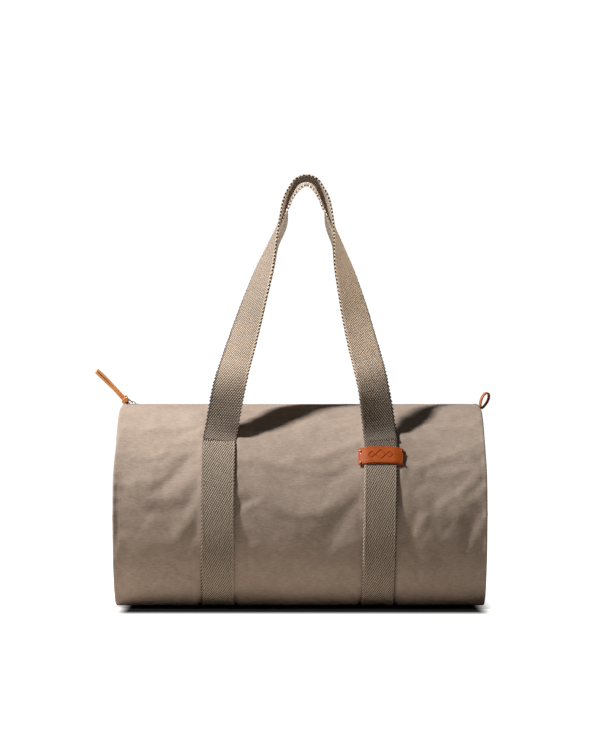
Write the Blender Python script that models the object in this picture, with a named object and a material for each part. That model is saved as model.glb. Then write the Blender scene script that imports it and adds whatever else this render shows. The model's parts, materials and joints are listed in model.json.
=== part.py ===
"""A canvas barrel duffel bag with a zipped mouth, long webbing handles and leather trim.

Metres, +Z up. +X runs along the barrel and -Y is the front. The origin is the centre of the face
that the bag rests on. The bag stands closed and filled, with both handles drawn up.

Places on the barrel are given as (x, s): s is the distance round the barrel's section from the
middle of the top, first down the front, then under the bag and up the rear. A depth is measured
inwards from the canvas's outer surface, so a negative depth stands proud of the canvas.
"""

import math

import bmesh
import bpy
import numpy as np
from mathutils import Matrix, Vector

# Barrel
LENGTH = 0.440          # between the end seams
HEIGHT = 0.240
WIDEST_Z = 0.115        # height at which the barrel is deepest
HALF_DEPTH = 0.126
FLAT_HALF = 0.060       # half the depth of the flat on which the filled bag rests
END_ROUND = 0.006       # radius of the turned canvas along each end seam
END_BULGE = 0.008       # how far the filled end panels bow out
GAP = 0.0003            # between pieces that touch on the real bag

# Layers, from the outside in
CANVAS = 0.0014
TAPE_DEPTH, TAPE = 0.0018, 0.0008
LINING_DEPTH, LINING = 0.0030, 0.0006

# Webbing
WEB_WIDTH, WEB = 0.040, 0.0027
ANCHOR_S = 0.110        # where the handles leave the sewn straps
STRAP_X = {"left": (-0.0955, -0.0976), "right": (0.0958, 0.0915)}  # at the anchor, under the bag
CHANNEL = WEB + GAP     # the canvas gives way by this much where it rests on the straps
CHANNEL_FULL, CHANNEL_END = 0.0255, 0.0345  # reach of that step each side of a strap's middle

# Handles
APEX_X = 0.0085
APEX_Y = 0.0216
APEX_Z = {"front": 0.5135, "rear": 0.5090}
ROOT_TILT = math.radians(7)     # lean away from the bag where a handle leaves it
# Each leg from the apex to the anchor, as shares: down, sideways, outwards
LEG_CURVE = {
    "left": ((0.051, 0.190, 0.05), (0.157, 0.312, 0.17), (0.36, 0.505, 0.43),
             (0.60, 0.722, 0.73), (0.80, 0.890, 0.93), (0.92, 0.958, 1.00)),
    "right": ((0.051, 0.200, 0.05), (0.157, 0.345, 0.17), (0.36, 0.522, 0.43),
              (0.60, 0.727, 0.73), (0.80, 0.900, 0.93), (0.92, 0.963, 1.00)),
}
# How far the webbing has turned from lying across the arch, at shares of the way down
TWIST_AT = (0, 0.09, 0.16, 0.34, 0.52, 0.75, 1)
TWIST_DEGREES = (-7, -6, 1, 30, 50, 66, 90)

# Zipped mouth
MOUTH_HALF = 0.2125     # half its length
HINGE_S = 0.0875        # where the canvas folds when the mouth gapes
CANVAS_EDGE_S = 0.008   # folded edge of the canvas, beside the zip
TAPE_S = (0.0034, 0.0150)
TEETH_Y = (0.0011, 0.0031)
TEETH_Z = (0.2360, 0.2386)
TOOTH_PITCH = 0.004
TEETH_START, TEETH_END = -0.2110, 0.2018

# Slider and its pull
SLIDER_X = -0.2025
SLIDER_SIZE = (0.012, 0.009, 0.0012)
PIVOT = Vector((-0.2040, 0, 0.2415))
RING_RISE = math.radians(36)    # the ring points left and this far up
RING_LENGTH, RING_WIDTH, RING_WIRE = 0.0080, 0.0058, 0.0007
KNOT = Vector((-0.2142, 0, 0.2438))
THONG_RISE = math.radians(46.9)
THONG_LENGTH = 0.0496           # from the middle of the knot to the tip
THONG_WIDTH = 0.0050

# Leather label and end loop
LABEL_S = (0.1198, 0.1426)
LABEL_HALF, LABEL = 0.02675, 0.0016
RIVET_X, RIVET_INSET_S = 0.0237, 0.0040
RIVET_SHANK, RIVET_HEAD, RIVET_RISE = 0.0007, 0.0013, 0.0007
LOOP_BASE = Vector((0.2224, 0, 0.2357))
LOOP_LENGTH, LOOP_HALF = 0.0185, 0.0036
LOOP_RISE = math.radians(73)
LOOP_STRIP, LOOP_WIDTH = 0.0015, 0.0055

CANVAS_MAT = ("canvas", (0.36, 0.29, 0.235), 0.9, 0.0)
LINING_MAT = ("lining", (0.30, 0.26, 0.21), 0.85, 0.0)
WEB_MAT = ("webbing", (0.33, 0.27, 0.21), 0.9, 0.0)
LEATHER_MAT = ("leather", (0.50, 0.17, 0.055), 0.5, 0.0)
TAPE_MAT = ("zip_tape", (0.25, 0.20, 0.16), 0.85, 0.0)
NICKEL_MAT = ("nickel", (0.72, 0.72, 0.70), 0.3, 1.0)
BRASS_MAT = ("rivet_brass", (0.62, 0.38, 0.20), 0.35, 1.0)


def clear_scene():
    for obj in list(bpy.data.objects):
        bpy.data.objects.remove(obj)


def material(name, colour, roughness, metallic):
    found = bpy.data.materials.get(name)
    if found:
        return found
    made = bpy.data.materials.new(name)
    made.use_nodes = True
    shader = made.node_tree.nodes["Principled BSDF"]
    shader.inputs["Base Color"].default_value = (*colour, 1)
    shader.inputs["Roughness"].default_value = roughness
    shader.inputs["Metallic"].default_value = metallic
    return made


def add_object(name, mesh, finish, smooth=None):
    """Links the mesh as an object. Its shading is smooth below the angle smooth, in degrees."""
    obj = bpy.data.objects.new(name, mesh)
    bpy.context.scene.collection.objects.link(obj)
    mesh.materials.append(material(*finish))
    if smooth:
        mesh.shade_smooth()
        mesh.set_sharp_from_angle(angle=math.radians(smooth))
    return obj


def mesh_of(name, points, faces):
    """A mesh whose faces all point outwards."""
    mesh = bpy.data.meshes.new(name)
    mesh.from_pydata([tuple(p) for p in points], [], faces)
    bm = bmesh.new()
    bm.from_mesh(mesh)
    bmesh.ops.recalc_face_normals(bm, faces=bm.faces)
    bm.to_mesh(mesh)
    bm.free()
    return mesh


# ---- The barrel's section ----

def trace_section(steps=240):
    """Points (y, z) down the front half of the section, and the distance s to each of them."""
    quarter = np.linspace(0, math.pi / 2, steps)
    upper = np.column_stack([-HALF_DEPTH * np.sin(quarter),
                             WIDEST_Z + (HEIGHT - WIDEST_Z) * np.cos(quarter)])
    lower = np.column_stack([-FLAT_HALF - (HALF_DEPTH - FLAT_HALF) * np.cos(quarter),
                             WIDEST_Z * (1 - np.sin(quarter))])
    points = np.vstack([upper, lower[1:], [[0.0, 0.0]]])
    steps_along = np.linalg.norm(np.diff(points, axis=0), axis=1)
    return points, np.concatenate([[0], np.cumsum(steps_along)])


SECTION, SECTION_S = trace_section()
HALF_GIRTH = SECTION_S[-1]
GIRTH = 2 * HALF_GIRTH
FLAT_S = HALF_GIRTH - FLAT_HALF     # where the flat starts, on the front


def outline(s):
    """(y, z) of the canvas's outer surface at s."""
    front = s <= HALF_GIRTH
    along = s if front else GIRTH - s
    y = np.interp(along, SECTION_S, SECTION[:, 0])
    z = np.interp(along, SECTION_S, SECTION[:, 1])
    return np.array([y if front else -y, z])


def inward(s, step=0.0015):
    """The section's unit normal at s, pointing into the bag."""
    ahead, behind = outline(min(s + step, GIRTH)), outline(max(s - step, 0))
    along = (ahead - behind) / np.linalg.norm(ahead - behind)
    return np.array([-along[1], along[0]])


def skin(x, s, depth=0.0):
    y, z = outline(s) + inward(s) * depth
    return Vector((x, y, z))


def end_rounding(x):
    """How far the canvas turns in, near an end seam."""
    from_end = max(LENGTH / 2 - abs(x), 0)
    if from_end >= END_ROUND:
        return 0.0
    return END_ROUND - math.sqrt(END_ROUND ** 2 - (END_ROUND - from_end) ** 2)


def fade(value, full, end):
    """1 up to full, 0 from end on, and smooth between."""
    t = min(max((end - value) / (end - full), 0), 1)
    return t * t * (3 - 2 * t)


def strap_x(side, s):
    """The middle of a sewn strap at s: it drifts sideways on its way down to the floor."""
    at_anchor, under = STRAP_X[side]
    down = min(s, GIRTH - s)
    share = min(max((down - ANCHOR_S) / (FLAT_S - ANCHOR_S), 0), 1)
    return at_anchor + (under - at_anchor) * share


def channel(s):
    """How deep the straps sink into the bag's underside at s."""
    return CHANNEL * fade(abs(s - HALF_GIRTH), FLAT_HALF + 0.010, FLAT_HALF + 0.055)


def dent(x, s):
    """How far the canvas gives way at (x, s), for the straps and for the end seams."""
    nearest = min(abs(x - strap_x(side, s)) for side in STRAP_X)
    return end_rounding(x) + channel(s) * fade(nearest, CHANNEL_FULL, CHANNEL_END)


# ---- Shapes ----

def sheet(name, xs, ss, outer, inner, finish, keep=None):
    """A curved layer over the grid xs by ss, between the depths outer(x, s) and inner(x, s).

    keep(x, s) says whether the cell centred there is part of the layer.
    """
    columns = len(ss)
    points = [skin(x, s, outer(x, s)) for x in xs for s in ss]
    points += [skin(x, s, inner(x, s)) for x in xs for s in ss]
    below = len(xs) * columns
    cells = {(i, j) for i in range(len(xs) - 1) for j in range(columns - 1)
             if keep is None or keep((xs[i] + xs[i + 1]) / 2, (ss[j] + ss[j + 1]) / 2)}
    faces = []
    for i, j in sorted(cells):
        corner = [i * columns + j, (i + 1) * columns + j,
                  (i + 1) * columns + j + 1, i * columns + j + 1]
        faces.append(corner)
        faces.append([below + c for c in reversed(corner)])
        beside = [(i, j - 1), (i + 1, j), (i, j + 1), (i - 1, j)]
        for side, neighbour in enumerate(beside):
            if neighbour not in cells:
                a, b = corner[side], corner[(side + 1) % 4]
                faces.append([b, a, below + a, below + b])
    mesh = mesh_of(name, points, faces)
    bm = bmesh.new()
    bm.from_mesh(mesh)
    bmesh.ops.delete(bm, geom=[v for v in bm.verts if not v.link_faces], context="VERTS")
    bm.to_mesh(mesh)
    bm.free()
    return add_object(name, mesh, finish, smooth=30)


def swept(name, rings, finish, closed=False, smooth=40):
    """A solid through a list of rings of points, each ring in the same order."""
    count = len(rings[0])
    points = [p for ring in rings for p in ring]
    faces = []
    links = len(rings) if closed else len(rings) - 1
    for i in range(links):
        a, b = i * count, (i + 1) % len(rings) * count
        for j in range(count):
            k = (j + 1) % count
            faces.append([a + j, a + k, b + k, b + j])
    if not closed:
        faces.append(list(reversed(range(count))))
        faces.append([(len(rings) - 1) * count + j for j in range(count)])
    return add_object(name, mesh_of(name, points, faces), finish, smooth)


def box_mesh(name, low, high):
    """A box from corner to corner."""
    mesh = bpy.data.meshes.new(name)
    bm = bmesh.new()
    size = Vector(high) - Vector(low)
    middle = (Vector(high) + Vector(low)) / 2
    bmesh.ops.create_cube(bm, size=1, matrix=Matrix.Translation(middle) @ Matrix.Diagonal((*size, 1)))
    bm.to_mesh(mesh)
    bm.free()
    return mesh


def rectangle(centre, across, over, width, height):
    """The four corners of a rectangle with its sides along across and over."""
    return [centre + across * (width / 2 * i) + over * (height / 2 * j)
            for i, j in ((-1, -1), (1, -1), (1, 1), (-1, 1))]


def circle(centre, across, over, radius, count=12):
    angles = [2 * math.pi * i / count for i in range(count)]
    return [centre + across * (radius * math.cos(a)) + over * (radius * math.sin(a)) for a in angles]


# ---- Canvas, lining and end panels ----

def round_stations(start, end, step):
    """Values of s from start to end, about step apart."""
    count = max(round((end - start) / step), 1)
    return list(np.linspace(start, end, count + 1))


def barrel_xs():
    """Stations along the barrel: close together at the turned ends and beside each strap."""
    half = LENGTH / 2 - GAP
    xs = {0.0}
    for sign in (-1, 1):
        xs |= {sign * (half - inset) for inset in (0, 0.0006, 0.0016, 0.0032, 0.0055)}
        xs.add(sign * MOUTH_HALF)
    for side in STRAP_X:
        centre = sum(STRAP_X[side]) / 2
        xs |= {centre + offset for offset in (-0.037, -0.030, -0.023, 0.023, 0.030, 0.037)}
    return sorted(xs)


def strap_stations():
    """Stations round the section from the front anchor to the rear one."""
    down = round_stations(ANCHOR_S, FLAT_S - 0.05, 0.0205)
    underside = round_stations(FLAT_S - 0.05, HALF_GIRTH, 0.0110)[1:]
    half = down + underside
    return half + [GIRTH - s for s in reversed(half[:-1])]


def build_canvas():
    crown = [CANVAS_EDGE_S, 0.027, 0.047, 0.067, HINGE_S - GAP, HINGE_S + GAP]
    ss = crown + strap_stations() + [GIRTH - s for s in reversed(crown)]

    def keep(x, s):
        return abs(x) > MOUTH_HALF or HINGE_S < s < GIRTH - HINGE_S

    sheet("body_panel", barrel_xs(), ss, dent, lambda x, s: dent(x, s) + CANVAS, CANVAS_MAT, keep)


def build_lining():
    ends = [-MOUTH_HALF, MOUTH_HALF]
    xs = ends[:1] + [x for x in barrel_xs() if abs(x) < MOUTH_HALF - 0.01] + ends[1:]
    ss = [HINGE_S + GAP] + strap_stations() + [GIRTH - HINGE_S - GAP]
    sheet("lining_body", xs, ss, lambda x, s: dent(x, s) + LINING_DEPTH,
          lambda x, s: dent(x, s) + LINING_DEPTH + LINING, LINING_MAT)


def end_disc(name, sign, at, depth, thickness, bulge, finish):
    """A panel with the barrel's outline, depth inside it, bowed out by bulge at its middle."""
    around = round_stations(0, GIRTH, 0.0245)[:-1]
    rim = [skin(sign * at, s, depth) for s in around]
    middle = Vector((sign * at, 0, HEIGHT / 2))
    rings = []
    for share in (1, 0.82, 0.55, 0.25):
        bow = Vector((sign * bulge * (1 - share ** 2), 0, 0))
        rings.append([middle + (p - middle) * share + bow for p in rim])
    outer = rings + [[middle + Vector((sign * bulge, 0, 0))]]
    inner = [[p - Vector((sign * thickness, 0, 0)) for p in ring] for ring in outer]
    count = len(around)
    points = [p for layer in (outer, inner) for ring in layer for p in ring]
    layer_size = len(points) // 2
    faces = []
    for layer in (0, layer_size):
        for i in range(len(rings) - 1):
            for j in range(count):
                k = (j + 1) % count
                quad = [i * count + j, i * count + k, (i + 1) * count + k, (i + 1) * count + j]
                faces.append([layer + c for c in quad])
        last, tip = layer + (len(rings) - 1) * count, layer + len(rings) * count
        faces += [[last + j, last + (j + 1) % count, tip] for j in range(count)]
    faces += [[j, (j + 1) % count, layer_size + (j + 1) % count, layer_size + j] for j in range(count)]
    add_object(name, mesh_of(name, points, faces), finish, smooth=30)


def build_ends():
    for side, sign in (("left", -1), ("right", 1)):
        end_disc(f"end_panel_{side}", sign, LENGTH / 2 + CANVAS, END_ROUND - 0.0008, CANVAS,
                 END_BULGE, CANVAS_MAT)
        end_disc(f"lining_end_{side}", sign, LENGTH / 2 - END_ROUND + LINING,
                 LINING_DEPTH + CHANNEL, LINING, 0.0, LINING_MAT)


# ---- Mouth and zip ----

def mirrored(ss, rear):
    return [GIRTH - s for s in reversed(ss)] if rear else ss


def build_mouth(side):
    """One side of the mouth: canvas and lining from the fold to the zip, zip tape and teeth."""
    rear = side == "rear"
    half = MOUTH_HALF - GAP
    ends = [-half, 0.0, half]
    canvas_s = mirrored(round_stations(CANVAS_EDGE_S, HINGE_S - GAP, 0.016), rear)
    sheet(f"mouth_canvas_{side}", ends, canvas_s, lambda x, s: 0.0, lambda x, s: CANVAS, CANVAS_MAT)
    lining_s = mirrored(round_stations(CANVAS_EDGE_S + 0.001, HINGE_S - GAP, 0.026), rear)
    sheet(f"mouth_lining_{side}", ends, lining_s, lambda x, s: LINING_DEPTH,
          lambda x, s: LINING_DEPTH + LINING, LINING_MAT)
    tape_s = mirrored(round_stations(*TAPE_S, 0.006), rear)
    sheet(f"zip_tape_{side}", ends, tape_s, lambda x, s: TAPE_DEPTH,
          lambda x, s: TAPE_DEPTH + TAPE, TAPE_MAT)
    teeth(f"zip_teeth_{side}", 1 if rear else -1)
    top_stop(f"zip_top_stop_{side}", 1 if rear else -1)


def teeth(name, sign):
    """A strip of teeth as a comb, standing up from the edge of its tape."""
    inner, outer = TEETH_Y
    root = (inner + outer) / 2
    start = TEETH_START + (0.75 if sign > 0 else 0.25) * TOOTH_PITCH
    edge = []
    for n in range(int((TEETH_END - start) / TOOTH_PITCH)):
        for step, reach in ((0, root), (0.1, inner), (0.4, inner), (0.5, root)):
            edge.append((start + (n + step) * TOOTH_PITCH, sign * reach))
    plan = [(TEETH_START, sign * outer), (TEETH_START, sign * root), *edge,
            (TEETH_END, sign * root), (TEETH_END, sign * outer)]
    rings = [[Vector((x, y, z)) for x, y in plan] for z in TEETH_Z]
    swept(name, rings, NICKEL_MAT, smooth=None)


def top_stop(name, sign):
    """The metal clip that ends one strip of teeth, beside the closed slider."""
    low_y, high_y = sorted((sign * TEETH_Y[0], sign * (TEETH_Y[1] + 0.0006)))
    low = (-0.2115, low_y, TEETH_Z[1] + GAP)
    high = (-0.2093, high_y, TEETH_Z[1] + 0.0016)
    obj = add_object(name, box_mesh(name, low, high), NICKEL_MAT)
    bevel(obj, 0.0003)


def bevel(obj, width, segments=2):
    made = obj.modifiers.new("Bevel", "BEVEL")
    made.width = width
    made.segments = segments
    made.limit_method = "ANGLE"


def build_zip_ends():
    """The metal stop at the far end of the zip, and a canvas tab over each end of its tapes."""
    reach = TAPE_S[0] - GAP
    low, high = (TEETH_END + GAP, -reach, TEETH_Z[0]), (TEETH_END + 0.0030, reach, TEETH_Z[1] + 0.0006)
    stop = add_object("zip_bottom_stop", box_mesh("zip_bottom_stop", low, high), NICKEL_MAT)
    bevel(stop, 0.0003)
    half_width = CANVAS_EDGE_S - 0.0005
    for side, sign in (("left", -1), ("right", 1)):
        xs = sorted(sign * x for x in (MOUTH_HALF + GAP, 0.2150, 0.2175, 0.2190))
        rings = []
        for x in xs:
            top = HEIGHT - end_rounding(x)
            rings.append(rectangle(Vector((x, 0, top - CANVAS / 2)), Vector((0, 1, 0)),
                                   Vector((0, 0, 1)), 2 * half_width, CANVAS))
        swept(f"zip_end_tab_{side}", rings, CANVAS_MAT)


def build_slider():
    """Two plates joined by a neck between the strips of teeth, with a bridge over the pull's ring."""
    long, wide, plate = SLIDER_SIZE
    top, bottom = TEETH_Z[1] + GAP, TEETH_Z[0] - GAP
    nose = SLIDER_X - long / 2
    slider = add_object("zip_slider",
                        box_mesh("zip_slider", (nose, -wide / 2, top),
                                 (nose + long, wide / 2, top + plate)), NICKEL_MAT)
    under = add_object("slider_under_plate",
                       box_mesh("slider_under_plate", (nose, -wide / 2, bottom - plate),
                                (nose + long, wide / 2, bottom)), NICKEL_MAT)
    neck = add_object("slider_neck",
                      box_mesh("slider_neck", (nose + 0.0004, -0.0007, bottom - plate / 2),
                               (nose + 0.0032, 0.0007, top + plate / 2)), NICKEL_MAT)
    bridge = slider_bridge(top + plate)
    for piece in (under, neck, bridge):
        join = slider.modifiers.new(piece.name, "BOOLEAN")
        join.operation = "UNION"
        join.object = piece
        piece.hide_render = True
        piece.display_type = "WIRE"
    return slider


def slider_bridge(foot_z):
    """An arch along X over the pivot, with its feet sunk in the top plate."""
    across, reach, rise, thick = Vector((0, 1, 0)), 0.0040, 0.0032, 0.0008
    rings = []
    for i in range(9):
        angle = math.pi * i / 8
        along = Vector((-math.cos(angle), 0, 0)) * reach
        up = Vector((0, 0, 1)) * (rise * math.sin(angle) - 0.0004)
        outward = Vector((-math.cos(angle) / reach, 0, math.sin(angle) / rise)).normalized()
        centre = Vector((PIVOT.x, 0, foot_z)) + along + up
        rings.append(rectangle(centre, across, outward, 0.0024, thick))
    return swept("slider_bridge", rings, NICKEL_MAT)


def build_pull():
    """The wire ring held by the slider's bridge, and the knotted leather thong hung on it."""
    along = Vector((-math.cos(RING_RISE), 0, math.sin(RING_RISE)))
    across = Vector((0, 1, 0))
    over = along.cross(across)
    corner, half, reach = 0.0024, RING_WIDTH / 2, RING_LENGTH
    centres = [(corner, half - corner), (reach - corner, half - corner),
               (reach - corner, corner - half), (corner, corner - half)]
    rings = []
    for turn, (forward, sideways) in enumerate(centres):
        for step in range(5):
            angle = math.pi - math.pi / 2 * turn - math.pi / 2 * step / 4
            radial = along * math.cos(angle) + across * math.sin(angle)
            centre = PIVOT + along * forward + across * sideways + radial * corner
            rings.append(circle(centre, radial, over, RING_WIRE, 8))
    swept("pull_ring", rings, NICKEL_MAT, closed=True)
    build_thong()


def build_thong():
    """A leather thong whose two tails lie together beyond the knot that closes it on its ring."""
    along = Vector((-math.cos(THONG_RISE), 0, math.sin(THONG_RISE)))
    across = Vector((0, 1, 0))
    over = along.cross(across)
    shape = [(-0.0033, 0.45, 0.45), (-0.0016, 1.25, 1.25), (0.0016, 1.25, 1.25), (0.0034, 1.0, 1.05),
             (0.0200, 1.0, 1.0), (0.0380, 0.95, 1.0), (THONG_LENGTH, 0.85, 0.85)]
    rings = []
    for forward, wide, high in shape:
        rings.append(rectangle(KNOT + along * forward, across, over,
                               THONG_WIDTH * wide, THONG_WIDTH * high))
    bevel(swept("pull_thong", rings, LEATHER_MAT, smooth=35), 0.0006, 1)


# ---- Webbing ----

def build_strap(side):
    """The sewn run of webbing from the front anchor, under the bag, to the rear anchor."""
    stations = strap_stations()
    rings = []
    for s in [stations[0] + GAP, *stations[1:-1], stations[-1] - GAP]:
        x, inner = strap_x(side, s), channel(s) - GAP
        rings.append([skin(x - WEB_WIDTH / 2, s, inner - WEB), skin(x + WEB_WIDTH / 2, s, inner - WEB),
                      skin(x + WEB_WIDTH / 2, s, inner), skin(x - WEB_WIDTH / 2, s, inner)])
    swept(f"strap_{side}", rings, WEB_MAT, smooth=30)


def smooth_curve(knots, count):
    """count points, evenly spaced along a smooth curve through the knots."""
    knots = np.array(knots)
    chord = np.concatenate([[0], np.cumsum(np.linalg.norm(np.diff(knots, axis=0), axis=1))])
    slopes = np.gradient(knots, chord, axis=0)
    at = np.linspace(0, chord[-1], count)
    k = np.clip(np.searchsorted(chord, at, side="right") - 1, 0, len(knots) - 2)
    span = (chord[k + 1] - chord[k])[:, None]
    t = (at - chord[k])[:, None] / span
    return ((2 * t ** 3 - 3 * t ** 2 + 1) * knots[k] + (t ** 3 - 2 * t ** 2 + t) * span * slopes[k]
            + (3 * t ** 2 - 2 * t ** 3) * knots[k + 1] + (t ** 3 - t ** 2) * span * slopes[k + 1])


def hinge_line(facing):
    """A point on the line about which a handle turns: the webbing's outer face at the anchors."""
    front = skin(0, ANCHOR_S, -GAP - WEB)
    return Vector((0, -facing * front.y, front.z))


def handle_curve(side, count):
    """Points along the middle of a handle's webbing, from its left anchor to its right one."""
    facing = 1 if side == "rear" else -1
    lean = Vector((0, facing * math.sin(ROOT_TILT), math.cos(ROOT_TILT)))
    outward = Vector((0, facing * math.cos(ROOT_TILT), -math.sin(ROOT_TILT)))
    root = hinge_line(facing) + lean * GAP - outward * (WEB / 2)
    apex = Vector((APEX_X, facing * APEX_Y, APEX_Z[side]))

    def leg(end):
        end_x = STRAP_X[end][0]
        shares = ((0, 0, 0), *LEG_CURVE[end], (1, 1, 1))
        return [(apex.x + (end_x - apex.x) * sideways, apex.y + (root.y - apex.y) * outwards,
                 apex.z + (root.z - apex.z) * down) for down, sideways, outwards in shares]

    return smooth_curve(list(reversed(leg("left"))) + leg("right")[1:], count)


def build_handle(side):
    """Webbing that lies across the arch at its apex and against the bag at its anchors."""
    facing = 1 if side == "rear" else -1
    centres = handle_curve(side, 49)
    along = np.gradient(centres, axis=0)
    down = (centres[:, 2].max() - centres[:, 2]) / np.ptp(centres[:, 2])
    rings = []
    for centre, tangent, share in zip(centres, along, down):
        turn = math.radians(np.interp(share, TWIST_AT, TWIST_DEGREES))
        tangent = Vector(tangent).normalized()
        away = tangent.cross(Vector((0, 1, 0))).normalized()
        across = Vector((0, facing * math.cos(turn), 0)) - away * math.sin(turn)
        if share > 0.999:
            tangent = Vector((0, facing * math.sin(ROOT_TILT), math.cos(ROOT_TILT)))
            across = Vector((-math.copysign(1, centre[0]), 0, 0))
        across = (across - tangent * across.dot(tangent)).normalized()
        normal = across.cross(tangent)
        rings.append(rectangle(Vector(centre), across, normal, WEB_WIDTH, WEB))
    swept(f"handle_{side}", rings, WEB_MAT, smooth=30)


# ---- Leather ----

def build_label():
    """The leather label across the front right strap, bent down to the canvas at both ends."""
    middle = strap_x("right", sum(LABEL_S) / 2)
    over_strap = WEB + 2 * GAP

    bend = WEB_WIDTH / 2 + 0.0006
    slope = (over_strap - GAP) / (LABEL_HALF - bend)

    def lift(x, s):
        return -over_strap + slope * max(abs(x - middle) - bend, 0)

    xs = [middle + offset for offset in (-LABEL_HALF, -bend, 0, bend, LABEL_HALF)]
    label = sheet("label", xs, round_stations(*LABEL_S, 0.0057), lambda x, s: lift(x, s) - LABEL,
                  lift, LEATHER_MAT)
    spots = [(sign, s) for sign in (-1, 1)
             for s in (LABEL_S[0] + RIVET_INSET_S, LABEL_S[1] - RIVET_INSET_S)]
    for number, (sign, s) in enumerate(spots, 1):
        x = middle + sign * RIVET_X
        rivet(label, f"label_rivet_{number}", skin(x, s, lift(x, s)), s, sign * slope)


def rivet(label, name, base, s, slope):
    """A domed rivet whose shank stands in a hole through the label, square to its slope."""
    y, z = -inward(s)
    out = Vector((slope, y, z)).normalized()
    over = Vector((0, -z, y))
    across = over.cross(out)

    def turned(title, profile, count=14):
        rings = [circle(base + out * height, across, over, radius, count) for radius, height in profile]
        return swept(title, rings, BRASS_MAT)

    face = LABEL + GAP + 0.0001
    turned(name, [(RIVET_SHANK, 0.0001), (RIVET_SHANK, face), (RIVET_HEAD, face),
                  (RIVET_HEAD * 0.86, face + RIVET_RISE * 0.6), (RIVET_HEAD * 0.45, face + RIVET_RISE)])
    hole = turned(f"{name}_hole", [(RIVET_SHANK + 0.0002, -0.002), (RIVET_SHANK + 0.0002, 0.006)])
    hole.hide_render = True
    hole.display_type = "WIRE"
    cut = label.modifiers.new(name, "BOOLEAN")
    cut.operation = "DIFFERENCE"
    cut.object = hole


def build_loop():
    """A strip of leather bent into a teardrop, held by its two ends at the right end seam."""
    rise = Vector((math.cos(LOOP_RISE), 0, math.sin(LOOP_RISE)))
    side = Vector((-rise.z, 0, rise.x))
    across = Vector((0, 1, 0))
    count = 22
    path = []
    for i in range(count + 1):
        turn = 2 * math.pi * i / count
        forward = LOOP_LENGTH * (1 - math.cos(turn)) / 2
        spread = LOOP_HALF * math.sin(turn) * math.sin(turn / 2) ** 0.6
        path.append(LOOP_BASE + rise * forward - side * spread)
    apart = side * (LOOP_STRIP / 2 + 0.0002)
    path[0], path[-1] = LOOP_BASE - apart, LOOP_BASE + apart
    path[1], path[-2] = path[1] - apart, path[-2] + apart
    rings = []
    for i, point in enumerate(path):
        before, after = path[max(i - 1, 0)], path[min(i + 1, count)]
        normal = (after - before).normalized().cross(across)
        rings.append(rectangle(point, across, normal, LOOP_WIDTH, LOOP_STRIP))
    swept("end_loop", rings, LEATHER_MAT, smooth=30)


def hang(pivot_name, at, names, parent=None):
    """Parents the named pieces to an empty on their joint's axis, with their origins there too."""
    pivot = bpy.data.objects.new(pivot_name, None)
    bpy.context.scene.collection.objects.link(pivot)
    pivot.empty_display_size = 0.02
    pivot.location = at - parent.location if parent else at
    pivot.parent = parent
    for name in names:
        piece = bpy.data.objects[name]
        piece.data.transform(Matrix.Translation(-at))
        piece.parent = pivot
    return pivot


def add_pivots():
    for side, facing in (("front", -1), ("rear", 1)):
        fold = skin(0, HINGE_S)
        mouth = [f"{piece}_{side}" for piece in
                 ("mouth_canvas", "mouth_lining", "zip_tape", "zip_teeth", "zip_top_stop")]
        hang(f"mouth_pivot_{side}", Vector((0, -facing * fold.y, fold.z)), mouth)
        hang(f"handle_pivot_{side}", hinge_line(facing), [f"handle_{side}"])
    hang("loop_pivot", LOOP_BASE, ["end_loop"])
    slider = ["zip_slider", "slider_under_plate", "slider_neck", "slider_bridge"]
    rail = hang("slider_rail", Vector((SLIDER_X, 0, TEETH_Z[1])), slider)
    hang("pull_pivot", PIVOT, ["pull_ring", "pull_thong"], parent=rail)


def build():
    clear_scene()
    build_canvas()
    build_lining()
    build_ends()
    for side in ("front", "rear"):
        build_mouth(side)
        build_handle(side)
    for side in STRAP_X:
        build_strap(side)
    build_zip_ends()
    build_slider()
    build_pull()
    build_label()
    build_loop()
    add_pivots()


build()
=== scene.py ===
"""The looks of the canvas duffel bag: soft canvas, twill webbing, leather trim and a metal zip.

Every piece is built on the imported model's frame and rides on its bodies. A place on the barrel is given
as (x, s): s is the distance down its section from the middle of the top, on the front (-1) or the
rear (1). A depth is measured inwards from the canvas's plain outer surface.
"""

import json
import math

import bmesh
import bpy
import numpy as np
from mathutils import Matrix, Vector, noise


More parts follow.
